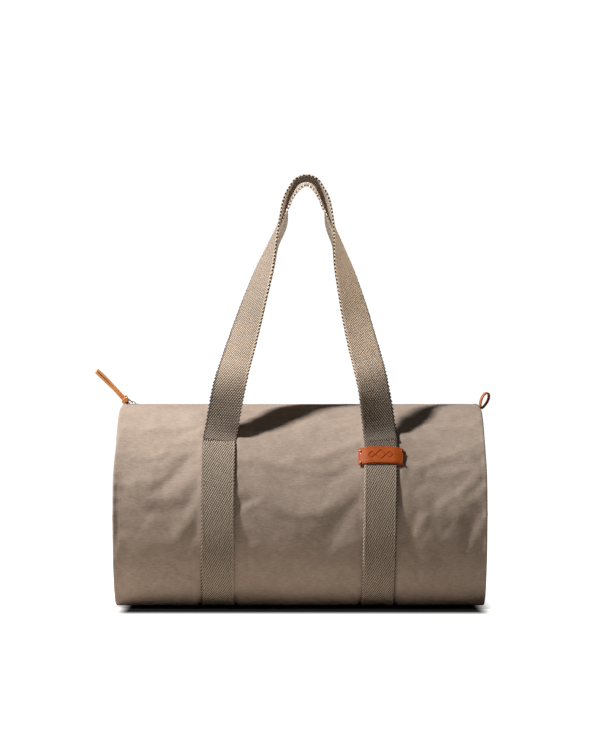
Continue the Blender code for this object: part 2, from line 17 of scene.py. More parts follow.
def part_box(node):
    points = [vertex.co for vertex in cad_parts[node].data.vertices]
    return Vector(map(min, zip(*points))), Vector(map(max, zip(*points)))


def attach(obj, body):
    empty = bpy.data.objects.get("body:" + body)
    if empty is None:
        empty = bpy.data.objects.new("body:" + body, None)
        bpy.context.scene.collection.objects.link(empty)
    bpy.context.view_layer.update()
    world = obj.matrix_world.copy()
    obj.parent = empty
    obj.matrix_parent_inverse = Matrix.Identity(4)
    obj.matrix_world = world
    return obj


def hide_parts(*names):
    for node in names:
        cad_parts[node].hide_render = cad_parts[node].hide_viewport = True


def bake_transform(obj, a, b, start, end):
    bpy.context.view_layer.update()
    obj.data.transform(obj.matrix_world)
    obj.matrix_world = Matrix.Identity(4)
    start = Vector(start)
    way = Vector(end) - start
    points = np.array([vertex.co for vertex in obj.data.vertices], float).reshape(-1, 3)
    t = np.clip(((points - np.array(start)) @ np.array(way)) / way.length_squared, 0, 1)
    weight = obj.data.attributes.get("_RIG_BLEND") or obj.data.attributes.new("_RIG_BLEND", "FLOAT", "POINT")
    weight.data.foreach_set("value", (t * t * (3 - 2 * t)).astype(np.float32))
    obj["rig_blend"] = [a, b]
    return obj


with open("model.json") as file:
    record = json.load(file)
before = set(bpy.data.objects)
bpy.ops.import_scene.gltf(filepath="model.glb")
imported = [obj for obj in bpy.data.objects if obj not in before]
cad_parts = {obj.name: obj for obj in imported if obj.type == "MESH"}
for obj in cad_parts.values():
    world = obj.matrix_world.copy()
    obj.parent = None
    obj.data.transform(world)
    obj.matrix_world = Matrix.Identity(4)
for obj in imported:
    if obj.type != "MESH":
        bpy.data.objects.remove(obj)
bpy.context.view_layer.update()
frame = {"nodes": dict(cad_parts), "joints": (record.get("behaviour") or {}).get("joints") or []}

FRONT, REAR = -1, 1
SIDES = {"front": FRONT, "rear": REAR}
JOINTS = {joint["name"]: joint for joint in frame["joints"]}

# Barrel
HALF_LENGTH, HALF_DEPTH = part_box("body_panel")[1].xy
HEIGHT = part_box("zip_end_tab_left")[1].z
WIDEST_Z = 0.115
FLAT_HALF = 0.060
END_ROUND, SEAM_ROUND = 0.006, 0.0016  # how far the canvas turns in at the end seams: by the zip, elsewhere
TOP_PULL = {"left": 0.0023, "right": 0.0010}
CANVAS, LINING, TAPE = 0.0014, 0.0005, 0.0007  # thicknesses of the cloths
LINING_DEPTH = 0.0046

# Webbing
LEFT_LOW, LEFT_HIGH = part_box("strap_left")
RIGHT_LOW, RIGHT_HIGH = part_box("strap_right")
WEB_WIDTH, WEB = 0.040, 0.0027
STRAP_X = {"left": (LEFT_HIGH.x - WEB_WIDTH / 2, LEFT_LOW.x + WEB_WIDTH / 2),
           "right": (RIGHT_HIGH.x - WEB_WIDTH / 2, RIGHT_LOW.x + WEB_WIDTH / 2)}
ANCHOR_S = 0.110
SEWN_LIFT = 0.0003
RIB_ACROSS, RIB_ALONG, YARN = 0.0027, 0.0046, 0.0023  # the twill's pitches
TOOTH = 0.0026  # how far the yarns stand out of the webbing's edges
STRAP_STITCH, TOPSTITCH = 0.0042, 0.0036

# Handles: each leg's way from the apex to its anchor, in shares (down, sideways, outwards)
APEX_X, APEX_Y = 0.0085, 0.0216
ROOT_TILT = math.radians(7)
LEG_CURVE = {
    "left": ((0.051, 0.196, 0.05), (0.157, 0.312, 0.17), (0.36, 0.505, 0.43),
             (0.60, 0.722, 0.73), (0.80, 0.890, 0.93), (0.92, 0.958, 1.00)),
    "right": ((0.051, 0.206, 0.05), (0.157, 0.345, 0.17), (0.36, 0.522, 0.43),
              (0.60, 0.727, 0.73), (0.80, 0.900, 0.93), (0.92, 0.963, 1.00)),
}
FRONT_SHOULDER = (0.0105, 0.105, 0.02)
# The webbing's twist against the share of the way down: it lies flat at 90 degrees
TWIST_AT = (0, 0.09, 0.16, 0.34, 0.52, 0.72, 0.82, 0.92, 1)
TWIST_DEGREES = {"left": (-7, -9, -2, 30, 50, 66, 84, 80, 90), "right": (-7, -12, -4, 33, 56, 69, 70, 84, 90)}
# Distance from the bag's middle plane against the share of the way down, apex to anchors
BOW_AT = (0, 0.12, 0.28, 0.44, 0.58, 0.68, 0.76, 0.83, 0.88, 0.93, 0.957, 0.973, 0.987, 1)
BOW = (0.0216, 0.0265, 0.0353, 0.0485, 0.0598, 0.0726, 0.0850, 0.0900, 0.0901, 0.0892, 0.0893, 0.0906, 0.0938,
       0.0982)

# Zip and mouth
CANVAS_EDGE_S = 0.008
MOUTH_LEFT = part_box("zip_top_stop_front")[1].x
MOUTH_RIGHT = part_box("zip_slider")[0].x + JOINTS["slider_slide"]["range_m"][1]
TOOTH_PITCH = 0.0024

# Folds and creases of the filled canvas, each from (x, s) to (x, s), with its depth and half width, in mm
CREASES = {
    FRONT: (
        (-119.5, 122, -176, 177, 3.4, 8.5), (-142, 112, -193, 160, -1.6, 11),
        (-212.5, 146, -198, 190, 1.6, 9),
        (-215, 219, -148, 222, 1.4, 11), (-146, 262, -118, 284, 1.8, 4), (-144, 252, -118.5, 268, -1, 4),
        (-140, 196, -118.5, 183, 1.3, 6), (-217, 262, -201, 296, 1.5, 5), (-218, 296, -203, 332, 1.8, 5.5),
        (-78, 196, -45, 174, 3.4, 7.5), (-56, 181, -12, 142, 1.5, 10), (-77, 236, -52, 226, 1.2, 6),
        (15, 150, 52, 206, 1.2, 12), (42, 118, 68, 168, 1, 10), (-10, 232, 60, 214, 1, 12),
        (112, 252, 137, 192, 3.4, 8.5), (129, 207, 170, 173, 3, 8), (156, 183, 206, 150, 2, 8),
        (160, 226, 193, 182, 2.2, 6), (186, 250, 210, 206, 2, 6), (164, 214, 202, 162, -1.6, 7),
        (219, 300, 206, 291, 1.8, 3), (120, 150, 145, 140, -1.2, 10), (118, 290, 142, 276, 1.2, 5),
    ),
    REAR: (
        (-205, 150, -160, 196, 2.8, 8.5), (-119, 176, -148, 206, 2.4, 7), (-76, 182, -35, 168, 2.8, 8),
        (-42, 226, 30, 208, 1.4, 12), (72, 196, 45, 176, 2.6, 7.5), (118, 216, 150, 184, 3, 8),
        (150, 178, 205, 158, 1.8, 8), (175, 240, 205, 205, 1.8, 6), (-217, 262, -201, 296, 1.6, 5),
        (218, 290, 203, 320, 1.6, 5),
    ),
}
CREASE_SHARE = 0.58

# Unevenness of the filled canvas: (height, scale, seed) of each layer of noise
SWELLS = ((0.0009, 0.075, 3.7), (0.0005, 0.034, 9.1), (0.00022, 0.014, 5.5))
REAR_SWELL = 1.2

# Cloth simulation: what it may add to the canvas's depth outwards and inwards, and how much of that is kept
SETTLE_GRID, SETTLE_FRAMES = (97, 85), 20
SETTLE_OUT, SETTLE_IN, SETTLE_SHARE = 0.0030, 0.0060, 0.5
CLOTH = {"quality": 6, "mass": 0.2, "tension_stiffness": 30, "compression_stiffness": 30,
         "shear_stiffness": 12, "bending_stiffness": 0.25, "pin_stiffness": 1.0, "shrink_min": -0.012}
CLOTH_GRAVITY = 0.25
SETTLED = {}

# Studio: the shadow under the bag, the key light's direction and distance, and the camera
SHADOW_X, SHADOW_Y = 0.0035, -0.033
KEY_FROM = Vector((-0.569, -0.266, 0.778)).normalized()
KEY_REACH = 1.5
CAMERA_AT = (0, -3.2, 0.28)
FOCAL_PIXELS, PHOTO_HEIGHT, SENSOR = 2626, 742, 36


# ---- The barrel's surface ----

def trace_section(steps=240):
    quarter = np.linspace(0, math.pi / 2, steps)
    upper = np.column_stack([HALF_DEPTH * np.sin(quarter),
                             WIDEST_Z + (HEIGHT - WIDEST_Z) * np.cos(quarter)])
    lower = np.column_stack([FLAT_HALF + (HALF_DEPTH - FLAT_HALF) * np.cos(quarter),
                             WIDEST_Z * (1 - np.sin(quarter))])
    points = np.vstack([upper, lower[1:], [[0.03, 0.0], [0.0, 0.0]]])
    steps_along = np.linalg.norm(np.diff(points, axis=0), axis=1)
    at = np.concatenate([[0], np.cumsum(steps_along)])
    even = np.linspace(0, at[-1], 1600)
    even_points = np.column_stack([np.interp(even, at, points[:, k]) for k in (0, 1)])
    slope = np.gradient(even_points, even, axis=0)
    for _ in range(6):
        slope[1:-1] = (slope[:-2] + 2 * slope[1:-1] + slope[2:]) / 4
    inward = np.column_stack([slope[:, 1], -slope[:, 0]])
    inward /= np.linalg.norm(inward, axis=1)[:, None]
    return even, even_points, inward


SECTION_S, SECTION, SECTION_IN = trace_section()
HALF_GIRTH = SECTION_S[-1]
FLAT_S = HALF_GIRTH - FLAT_HALF


def smoothstep(value, start, end):
    t = np.clip((value - start) / (end - start), 0, 1)
    return t * t * (3 - 2 * t)


def fade(value, start, end):
    return 1 - smoothstep(value, start, end)


def window(value, start, full, thin, end):
    """0 before start, 1 from full to thin, and 0 after end."""
    return smoothstep(value, start, full) * fade(value, thin, end)


def pulled_in(x, s):
    """How far the zip draws the top of each end towards the middle."""
    drawn = np.where(x < 0, TOP_PULL["left"], TOP_PULL["right"])
    return drawn * smoothstep(np.abs(x), 0.17, 0.22) * fade(s, 0.100, 0.160)


def skin(x, s, depth, facing):
    """Points of the barrel at (x, s), that far inside its plain surface. Arrays of one shape."""
    x, s, depth = np.broadcast_arrays(x, s, depth)
    x = x - np.sign(x) * pulled_in(x, s)
    across = np.interp(s, SECTION_S, SECTION[:, 0]) + np.interp(s, SECTION_S, SECTION_IN[:, 0]) * depth
    up = np.interp(s, SECTION_S, SECTION[:, 1]) + np.interp(s, SECTION_S, SECTION_IN[:, 1]) * depth
    return np.stack([x, facing * across, up], axis=-1)


def outward(s, facing):
    """The surface's outward normal at each s."""
    return np.stack([np.zeros_like(s), -facing * np.interp(s, SECTION_S, SECTION_IN[:, 0]),
                     -np.interp(s, SECTION_S, SECTION_IN[:, 1])], axis=-1)


def strap_x(side, s):
    at_anchor, under = STRAP_X[side]
    return at_anchor + (under - at_anchor) * np.clip((s - ANCHOR_S) / (FLAT_S - ANCHOR_S), 0, 1)


def channel(s):
    """How deep the straps sink into the bag's underside."""
    return (WEB + SEWN_LIFT) * smoothstep(s, FLAT_S - 0.055, FLAT_S - 0.010)


def waves(x, s, scale, seed):
    """Smooth noise between about -1 and 1 over the barrel, for arrays of one shape."""
    flat = [noise.noise(Vector((a / scale, b / scale, seed))) for a, b in zip(x.ravel(), s.ravel())]
    return np.array(flat).reshape(x.shape) * 1.6


def crease_depth(x, s, facing):
    total = np.zeros_like(x)
    for x0, s0, x1, s1, depth, width in np.array(CREASES[facing]) / 1000:
        run, rise = x1 - x0, s1 - s0
        length = math.hypot(run, rise)
        t = ((x - x0) * run + (s - s0) * rise) / length ** 2
        off = ((x - x0) * rise - (s - s0) * run) / length
        off = off + 0.05 * length * np.sin(t * 5.0 + 40 * x0)
        taper = window(t, -0.25, 0.40, 0.55, 1.25)
        gentle, sharp = np.exp(-np.abs(off / (1.7 * width)) ** 1.4), np.exp(-(off / (0.9 * width)) ** 2)
        total += CREASE_SHARE * depth * taper * np.where(off > 0, gentle, sharp)
    return total


def settled_depth(x, s, facing):
    """What the cloth simulation adds to the depth, read smoothly from its grid."""
    if facing not in SETTLED:
        return np.zeros_like(x)
    grid = SETTLED[facing]
    total = np.zeros_like(x)
    column = (x + HALF_LENGTH) / (2 * HALF_LENGTH) * (grid.shape[0] - 1)
    row = (s - CANVAS_EDGE_S) / (HALF_GIRTH - CANVAS_EDGE_S) * (grid.shape[1] - 1)
    i, j = np.floor(column).astype(int), np.floor(row).astype(int)
    u, v = column - i, row - j

    def spline(t):
        return ((1 - t) ** 3 / 6, (3 * t ** 3 - 6 * t ** 2 + 4) / 6,
                (-3 * t ** 3 + 3 * t ** 2 + 3 * t + 1) / 6, t ** 3 / 6)

    for a, wide in enumerate(spline(u)):
        for b, tall in enumerate(spline(v)):
            near = np.clip(i + a - 1, 0, grid.shape[0] - 1), np.clip(j + b - 1, 0, grid.shape[1] - 1)
            total += wide * tall * grid[near]
    return total


def strap_gap(x, s):
    """The distance along the barrel from (x, s) to the nearest strap's middle."""
    return np.minimum(np.abs(x - strap_x("left", s)), np.abs(x - strap_x("right", s)))


def canvas_depth(x, s, facing):
    """How far the filled, creased canvas lies inside the plain surface, over arrays of one shape."""
    s = np.minimum(s, HALF_GIRTH)
    to_strap = strap_gap(x, s)
    free = smoothstep(to_strap, 0.0195, 0.0245)
    on_side = window(s, 0.030, 0.060, FLAT_S - 0.03, FLAT_S - 0.004)
    from_end = HALF_LENGTH - np.abs(x)
    soft = sum(height * waves(x, s, scale, seed) for height, scale, seed in SWELLS)
    ridged = 0.0011 * (0.45 - np.abs(waves(x + 0.45 * s, s - 0.2 * x, 0.052, 12.7)))
    ridged += 0.0006 * (0.45 - np.abs(waves(x - 0.35 * s, s + 0.3 * x, 0.024, 15.1)))
    soft = soft + ridged
    seam = 0.0007 * waves(x * 0.3, s, 0.011, 1.3) * np.exp(-from_end / 0.014)
    beside = 0.0006 * waves(x * 0.35, s, 0.012, 7.9) * np.exp(-np.maximum(to_strap - 0.020, 0) / 0.010)
    zip_side = 0.0003 * waves(x, s * 0.3, 0.014, 2.2) * np.exp(-s / 0.012)
    folds = crease_depth(x, s, facing) + (soft + beside) * (1.0 if facing == FRONT else REAR_SWELL)
    folds = folds + settled_depth(x, s, facing)
    under_strap = channel(s) * fade(to_strap, 0.0207, 0.0250)
    return folds * free * on_side * smoothstep(from_end, 0, 0.006) + seam * on_side + zip_side + under_strap


def settle(facing):
    """One side of the barrel as cloth: a little too large, sewn at its edges and along the straps, it sags
    and crumples on the filling. Only the change in depth is kept, capped."""
    x, s = grid_of(np.linspace(-HALF_LENGTH, HALF_LENGTH, SETTLE_GRID[0]),
                   np.linspace(CANVAS_EDGE_S, HALF_GIRTH, SETTLE_GRID[1]))
    start = canvas_depth(x, s, facing)
    faces = grid_faces(*x.shape, flip=facing == REAR)
    mesh = make_mesh("settling", skin(x, s, start, facing).reshape(-1, 3), faces)
    obj = to_scene(bpy.data.objects.new("settling", mesh))
    held = np.maximum.reduce([
        fade(strap_gap(x, s), 0.0200, 0.0225), fade(s, 0.018, 0.032),
        smoothstep(s, FLAT_S - 0.016, FLAT_S), fade(HALF_LENGTH - np.abs(x), 0.001, 0.005)])
    sewn = obj.vertex_groups.new(name="sewn")
    for index, weight in enumerate(held.ravel()):
        sewn.add([index], float(weight), "REPLACE")
    cloth = obj.modifiers.new("Settle", "CLOTH")
    for name, value in CLOTH.items():
        setattr(cloth.settings, name, value)
    cloth.settings.vertex_group_mass = "sewn"
    cloth.settings.effector_weights.gravity = CLOTH_GRAVITY
    cloth.collision_settings.use_collision = False
    scene = bpy.context.scene
    cloth.point_cache.frame_end = SETTLE_FRAMES
    for number in range(1, SETTLE_FRAMES + 1):
        scene.frame_set(number)
    settled = obj.evaluated_get(bpy.context.evaluated_depsgraph_get()).data
    points = np.empty(len(settled.vertices) * 3, np.float32)
    settled.vertices.foreach_get("co", points)
    moved = points.reshape(*x.shape, 3) - skin(x, s, 0, facing)
    depth = -np.sum(moved * outward(s, facing), axis=-1)
    scene.frame_set(1)
    bpy.data.objects.remove(obj)
    change = np.clip(depth - start, -SETTLE_OUT, SETTLE_IN)
    SETTLED[facing] = SETTLE_SHARE * change


def turn_in(s):
    """How far the canvas turns in at the end seams: most at the top, where the zip pulls it down."""
    return SEAM_ROUND + (END_ROUND - SEAM_ROUND) * fade(s, 0.006, 0.052)


def end_rounding(x, s):
    round_by = turn_in(s)
    from_end = np.clip(HALF_LENGTH - np.abs(x), 0, round_by)
    return round_by - np.sqrt(np.maximum(round_by ** 2 - (round_by - from_end) ** 2, 0))


def gape(x, s):
    """How fully the canvas at (x, s) follows its side of the mouth as that opens into a lens shape."""
    along = np.clip((x - MOUTH_LEFT) / (MOUTH_RIGHT - MOUTH_LEFT), 0, 1)
    return np.sin(math.pi * along) ** 0.75 * fade(s, 0.072, 0.104)


# ---- Mesh helpers ----

def to_scene(obj):
    bpy.context.scene.collection.objects.link(obj)
    return obj


def grid_of(first, second):
    return np.meshgrid(first, second, indexing="ij")


def link(name, mesh, finish, smooth=True):
    obj = to_scene(bpy.data.objects.new(name, mesh))
    mesh.materials.append(finish)
    if smooth:
        mesh.shade_smooth()
    return obj


def make_mesh(name, points, faces, uvs=None):
    """uvs are per vertex, in metres of cloth."""
    mesh = bpy.data.meshes.new(name)
    mesh.from_pydata(points.tolist(), [], faces.tolist() if isinstance(faces, np.ndarray) else faces)
    if uvs is not None:
        layer = mesh.uv_layers.new(name="Cloth")
        corners = np.zeros(len(mesh.loops), np.int32)
        mesh.loops.foreach_get("vertex_index", corners)
        layer.data.foreach_set("uv", uvs[corners].astype(np.float32).ravel())
    mesh.validate()
    return mesh


def grid_faces(rows, columns, wrap=False, flip=False, start=0):
    i, j = np.meshgrid(np.arange(rows - 1), np.arange(columns if wrap else columns - 1), indexing="ij")
    k = (j + 1) % columns
    quads = np.stack([i * columns + j, i * columns + k, (i + 1) * columns + k, (i + 1) * columns + j], -1)
    quads = quads.reshape(-1, 4) + start
    return quads[:, ::-1] if flip else quads


def turn_outwards(mesh):
    bm = bmesh.new()
    bm.from_mesh(mesh)
    bmesh.ops.recalc_face_normals(bm, faces=bm.faces)
    bm.to_mesh(mesh)
    bm.free()


def tube(name, rings, finish, closed=False, uvs=None):
    """A solid through rings, an array of shape (rings, points in each, 3)."""
    count, around = rings.shape[:2]
    if closed:
        rings = np.concatenate([rings, rings[:1]])
    faces = grid_faces(len(rings), around, wrap=True).tolist()
    points = rings.reshape(-1, 3)
    if closed:
        last = count * around
        faces = [[v - last if v >= last else v for v in face] for face in faces]
        points = points[:last]
    else:
        faces += [list(range(around))[::-1], list(range((count - 1) * around, count * around))]
    mesh = make_mesh(name, points, faces, uvs)
    turn_outwards(mesh)
    return link(name, mesh, finish)


def slab(name, top, bottom, finish, uvs=None):
    """A closed sheet between two grids of points of shape (rows, columns, 3)."""
    rows, columns = top.shape[:2]
    size = rows * columns
    faces = grid_faces(rows, columns).tolist() + grid_faces(rows, columns, flip=True, start=size).tolist()
    rim = [i * columns for i in range(rows)] + [(rows - 1) * columns + j for j in range(1, columns)]
    rim += [i * columns + columns - 1 for i in range(rows - 2, -1, -1)] + list(range(columns - 2, 0, -1))
    faces += [[a, b, size + b, size + a] for a, b in zip(rim, rim[1:] + rim[:1])]
    points = np.concatenate([top.reshape(-1, 3), bottom.reshape(-1, 3)])
    mesh = make_mesh(name, points, faces, None if uvs is None else np.concatenate([uvs, uvs]))
    turn_outwards(mesh)
    return link(name, mesh, finish)


def along_x(places):
    return np.tile([1.0, 0, 0], (len(places), 1))


def unit(vectors):
    return vectors / np.maximum(np.linalg.norm(vectors, axis=-1, keepdims=True), 1e-12)


def mark_points(obj, attribute, values):
    data = obj.data.attributes.get(attribute) or obj.data.attributes.new(attribute, "FLOAT", "POINT")
    data.data.foreach_set("value", values.astype(np.float32))


def follow(obj, body, weights):
    """obj moves with the shell, and with that body by the given weight of each of its points."""
    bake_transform(obj, "shell", body, start=(0, 0, 0), end=(0, 0, 1))
    mark_points(obj, "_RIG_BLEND", weights)


def thicken(obj, thickness):
    made = obj.modifiers.new("Thickness", "SOLIDIFY")
    made.thickness = thickness
    made.offset = -1
    made.use_even_offset = False


def assign(obj, slot, body=None, *nodes):
    """Rides on the body and stands for the CAD nodes, which it hides. slot is not used."""
    if nodes:
        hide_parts(*nodes)
    if body:
        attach(obj, body)


def sheet(name, side, x, s, depth, finish, thickness):
    """A sheet of cloth over a grid of (x, s), which opens with its side of the mouth."""
    facing = SIDES[side]
    faces = grid_faces(*x.shape, flip=facing == REAR)
    uvs = np.stack([x, s], -1).reshape(-1, 2)
    obj = link(name, make_mesh(name, skin(x, s, depth, facing).reshape(-1, 3), faces, uvs), finish)
    follow(obj, f"mouth_{side}", gape(x, s).ravel())
    thicken(obj, thickness)
    return obj


def copies(one, per, count):
    """The faces of one piece of per points, repeated for that many copies."""
    return [[v + n * per for v in face] for n in range(count) for face in one]


def stitches(name, rows, length, radius, finish):
    """Rows of (centres, headings, outward normals): a short rounded thread at each, its ends slightly sunk.
    Returns the piece and how many points a stitch has."""
    centres, along, out = (np.concatenate(part) for part in zip(*rows))
    profile = ((-0.5, 0.35, -0.5), (-0.36, 0.95, -0.1), (0.0, 1.0, 0.25), (0.36, 0.95, -0.1),
               (0.5, 0.35, -0.5))  # (distance along, width, lift), in shares
    sides = 6
    side = unit(np.cross(out, along))
    rings = []
    for step, wide, lift in profile:
        ring = []
        for k in range(sides):
            angle = 2 * math.pi * k / sides
            ring.append(centres + along * (step * length) + side * (radius * wide * math.cos(angle))
                        + out * (radius * (wide * math.sin(angle) + lift)))
        rings.append(np.stack(ring, axis=1))
    points = np.stack(rings, axis=1)
    per = len(profile) * sides
    one = grid_faces(len(profile), sides, wrap=True).tolist()
    one += [list(range(sides))[::-1], list(range(per - sides, per))]
    mesh = make_mesh(name, points.reshape(-1, 3), copies(one, per, len(centres)))
    turn_outwards(mesh)
    return link(name, mesh, finish), per


# ---- Materials ----

class Shader:
    """A procedural material under construction."""

    def __init__(self, name, roughness, metallic=0.0):
        self.material = bpy.data.materials.new(name)
        self.material.use_nodes = True
        self.tree = self.material.node_tree
        self.out = self.tree.nodes["Principled BSDF"]
        self.out.inputs["Roughness"].default_value = roughness
        self.out.inputs["Metallic"].default_value = metallic

    def node(self, kind, settings=None, **inputs):
        made = self.tree.nodes.new(kind)
        for key, value in (settings or {}).items():
            setattr(made, key, value)
        for key, value in inputs.items():
            self.feed(made.inputs[key.replace("_", " ")], value)
        return made

    def feed(self, socket, value):
        if isinstance(value, bpy.types.NodeSocket):
            self.tree.links.new(value, socket)
        else:
            socket.default_value = value

    def math(self, operation, *values):
        made = self.tree.nodes.new("ShaderNodeMath")
        made.operation = operation
        for socket, value in zip(made.inputs, values):
            self.feed(socket, value)
        return made.outputs[0]

    def mul(self, a, b):
        return self.math("MULTIPLY", a, b)

    def add(self, a, b):
        return self.math("ADD", a, b)

    def less(self, a, b):
        return self.math("SUBTRACT", a, b)

    def mad(self, value, factor, plus):
        return self.math("MULTIPLY_ADD", value, factor, plus)

    def ramp(self, value, settings=None, **limits):
        return self.node("ShaderNodeMapRange", settings, Value=value, **limits).outputs[0]

    def clamp(self, value):
        return self.node("ShaderNodeClamp", Value=value).outputs[0]

    def painted(self, attribute):
        return self.node("ShaderNodeAttribute", {"attribute_name": attribute}).outputs["Fac"]

    def mix(self, factor, first, second):
        made = self.tree.nodes.new("ShaderNodeMix")
        made.data_type = "RGBA"
        self.feed(made.inputs[0], factor)
        self.feed(made.inputs[6], (*first, 1) if isinstance(first, tuple) else first)
        self.feed(made.inputs[7], (*second, 1) if isinstance(second, tuple) else second)
        return made.outputs[2]

    def noise(self, scale, detail=3.0, vector=None, roughness=0.5):
        made = self.node("ShaderNodeTexNoise", Scale=scale, Detail=detail, Roughness=roughness)
        self.tree.links.new(vector or self.place(), made.inputs["Vector"])
        return made.outputs["Fac"]

    def place(self):
        return self.node("ShaderNodeTexCoord").outputs["Object"]

    def cloth(self):
        """The distances across and along the cloth, in metres."""
        flat = self.node("ShaderNodeUVMap", {"uv_map": "Cloth"}).outputs[0]
        made = self.node("ShaderNodeSeparateXYZ", Vector=flat)
        return made.outputs["X"], made.outputs["Y"]

    def relief(self, height, strength, distance):
        bump = self.node("ShaderNodeBump", Height=height, Strength=strength, Distance=distance)
        if self.out.inputs["Normal"].links:
            self.tree.links.new(self.out.inputs["Normal"].links[0].from_socket, bump.inputs["Normal"])
        self.tree.links.new(bump.outputs["Normal"], self.out.inputs["Normal"])

    def colour(self, value):
        self.feed(self.out.inputs["Base Color"], (*value, 1) if isinstance(value, tuple) else value)

    def set(self, **inputs):
        for key, value in inputs.items():
            self.feed(self.out.inputs[key.replace("_", " ")], value)


def canvas_material(name, light, dark, rib=0.0013):
    """Plain-woven cotton with a rib along the barrel, slubs and faint mottling."""
    shader = Shader(name, 0.92)
    x, s = shader.cloth()
    wobble = shader.noise(260, 2)
    weft = shader.math("SINE", shader.mad(s, 2 * math.pi / rib, shader.mul(wobble, 2.4)))
    warp = shader.math("SINE", shader.mad(x, 2 * math.pi / (rib * 0.72), shader.mul(wobble, 2.0)))
    weave = shader.mad(shader.mul(weft, warp), 0.35, shader.mul(weft, 0.65))
    fine = shader.noise(900, 3)
    mottle = shader.noise(21, 4, roughness=0.62)
    slub = shader.noise(140, 3)
    tone = shader.add(shader.mul(weave, 0.16), shader.mad(mottle, 0.75, shader.mul(slub, 0.35)))
    spun = shader.node("ShaderNodeCombineXYZ", X=shader.mul(x, 150.0), Y=shader.mul(s, 620.0))
    streak = shader.noise(1.0, 2, spun.outputs[0], 0.6)
    tone = shader.mad(fine, 0.75, shader.less(tone, 0.15))
    tone = shader.mad(streak, 1.1, shader.less(tone, 0.55))
    tone = shader.ramp(tone, From_Min=0.46, From_Max=1.07)
    shader.colour(shader.mix(tone, dark, light))
    shader.relief(weave, 0.30, 0.00022)
    shader.relief(shader.add(fine, slub), 0.25, 0.00030)
    shader.relief(streak, 0.5, 0.00035)
    shader.set(Sheen_Weight=0.12, Sheen_Roughness=0.6, Specular_IOR_Level=0.18)
    return shader.material


def webbing_material(name, light, dark, gap):
    """Twill webbing: ribs of yarn run aslant, each a row of raised stitches between gaps of painted shade,
    near-black. Its edges carry a painted highlight, and a per-point mask paints shade on it.
    """
    shader = Shader(name, 0.9)
    across, along = shader.cloth()
    wobble = shader.mad(shader.noise(420, 2), 0.30, -0.15)
    phase = shader.add(shader.mad(across, 1 / RIB_ACROSS, shader.mul(along, 1 / RIB_ALONG)), wobble)
    rib = shader.less(shader.math("FRACT", phase), 0.5)
    step = shader.mul(shader.math("FLOOR", phase), 0.31)
    yarn = shader.less(shader.math("FRACT", shader.add(shader.mad(along, 1 / YARN, step), wobble)), 0.5)
    round_rib = shader.less(1.0, shader.mul(shader.mul(rib, rib), 4.4))
    dip = shader.mul(shader.mul(yarn, yarn), 1.9)
    height = shader.math("MAXIMUM", shader.less(round_rib, dip), 0.0)
    grain = shader.noise(1100, 2)
    tone = shader.add(height, shader.mad(grain, 0.6, -0.30))
    tone = shader.mad(shader.noise(60, 3), 0.5, shader.less(tone, 0.25))
    selvedge = shader.ramp(shader.math("ABSOLUTE", across), From_Min=0.0178, From_Max=0.0192)
    # Painted shade: this mask darkens the yarns and widens the dark gaps where it is set
    painted_shade_mask = shader.painted("Painted_Shade")
    standing = shader.mad(painted_shade_mask, -0.30, shader.mad(selvedge, -0.08, height))
    deep = shader.ramp(standing, From_Min=0.16, From_Max=0.72)
    yarn_colour = shader.mix(shader.clamp(tone), dark, light)
    # Painted highlight: the yarns at the webbing's edges are lightened, as where they catch the key light
    yarn_colour = shader.mix(shader.mul(selvedge, 0.5), yarn_colour, light)
    yarn_colour = shader.mix(shader.mul(painted_shade_mask, 0.12), yarn_colour, gap)
    # The gap colour is painted shade, near-black where the yarns lie low
    shader.colour(shader.mix(deep, gap, yarn_colour))
    shader.relief(height, 1.0, 0.0006)
    shader.relief(grain, 0.2, 0.0002)
    shader.set(Sheen_Weight=0.10, Sheen_Roughness=0.6, Specular_IOR_Level=0.2)
    return shader.material


def leather_material(name, light, dark, coat=0.05):
    """Vegetable-tanned leather with pores, a soft gloss and darker patches from handling."""
    shader = Shader(name, 0.42)
    grain = shader.node("ShaderNodeTexVoronoi", {"feature": "DISTANCE_TO_EDGE"}, Scale=1300.0)
    shader.tree.links.new(shader.place(), grain.inputs["Vector"])
    pores = shader.noise(700, 4)
    patches = shader.noise(90, 4, roughness=0.65)
    tone = shader.clamp(shader.mad(patches, 1.3, shader.mad(pores, 0.5, -0.42)))
    stamp = shader.painted("Stamp")
    # Painted shade in the stamp's grooves: the stamped lines are darkened
    stamp_shade_colour = tuple(0.5 * part for part in dark)
    shader.colour(shader.mix(shader.mul(stamp, 0.6), shader.mix(tone, dark, light), stamp_shade_colour))
    shader.relief(grain.outputs["Distance"], 0.25, 0.0002)
    shader.relief(pores, 0.25, 0.00015)
    gloss = shader.ramp(pores, To_Min=0.46, To_Max=0.66)
    shader.set(Roughness=gloss, Specular_IOR_Level=0.25, Coat_Weight=coat)
    return shader.material


def metal_material(name, light, dark, roughness):
    """Plated metal, tumbled smooth, with fine scratches and a little tarnish."""
    shader = Shader(name, roughness, 1.0)
    scratches = shader.noise(1500, 4, roughness=0.7)
    tarnish = shader.noise(240, 3)
    shader.colour(shader.mix(tarnish, dark, light))
    shader.set(Roughness=shader.ramp(scratches, To_Min=roughness * 0.7, To_Max=roughness * 1.5))
    shader.relief(scratches, 0.12, 0.00008)
    return shader.material


CANVAS_FINISH = canvas_material("canvas_cloth", (0.425, 0.328, 0.254), (0.300, 0.222, 0.164))
LINING_FINISH = canvas_material("lining_cloth", (0.36, 0.31, 0.25), (0.27, 0.225, 0.18), 0.0009)
TAPE_FINISH = canvas_material("zip_tape_cloth", (0.30, 0.24, 0.19), (0.20, 0.16, 0.125), 0.0008)
THREAD_FINISH = canvas_material("canvas_thread", (0.46, 0.37, 0.29), (0.33, 0.26, 0.20), 0.0005)
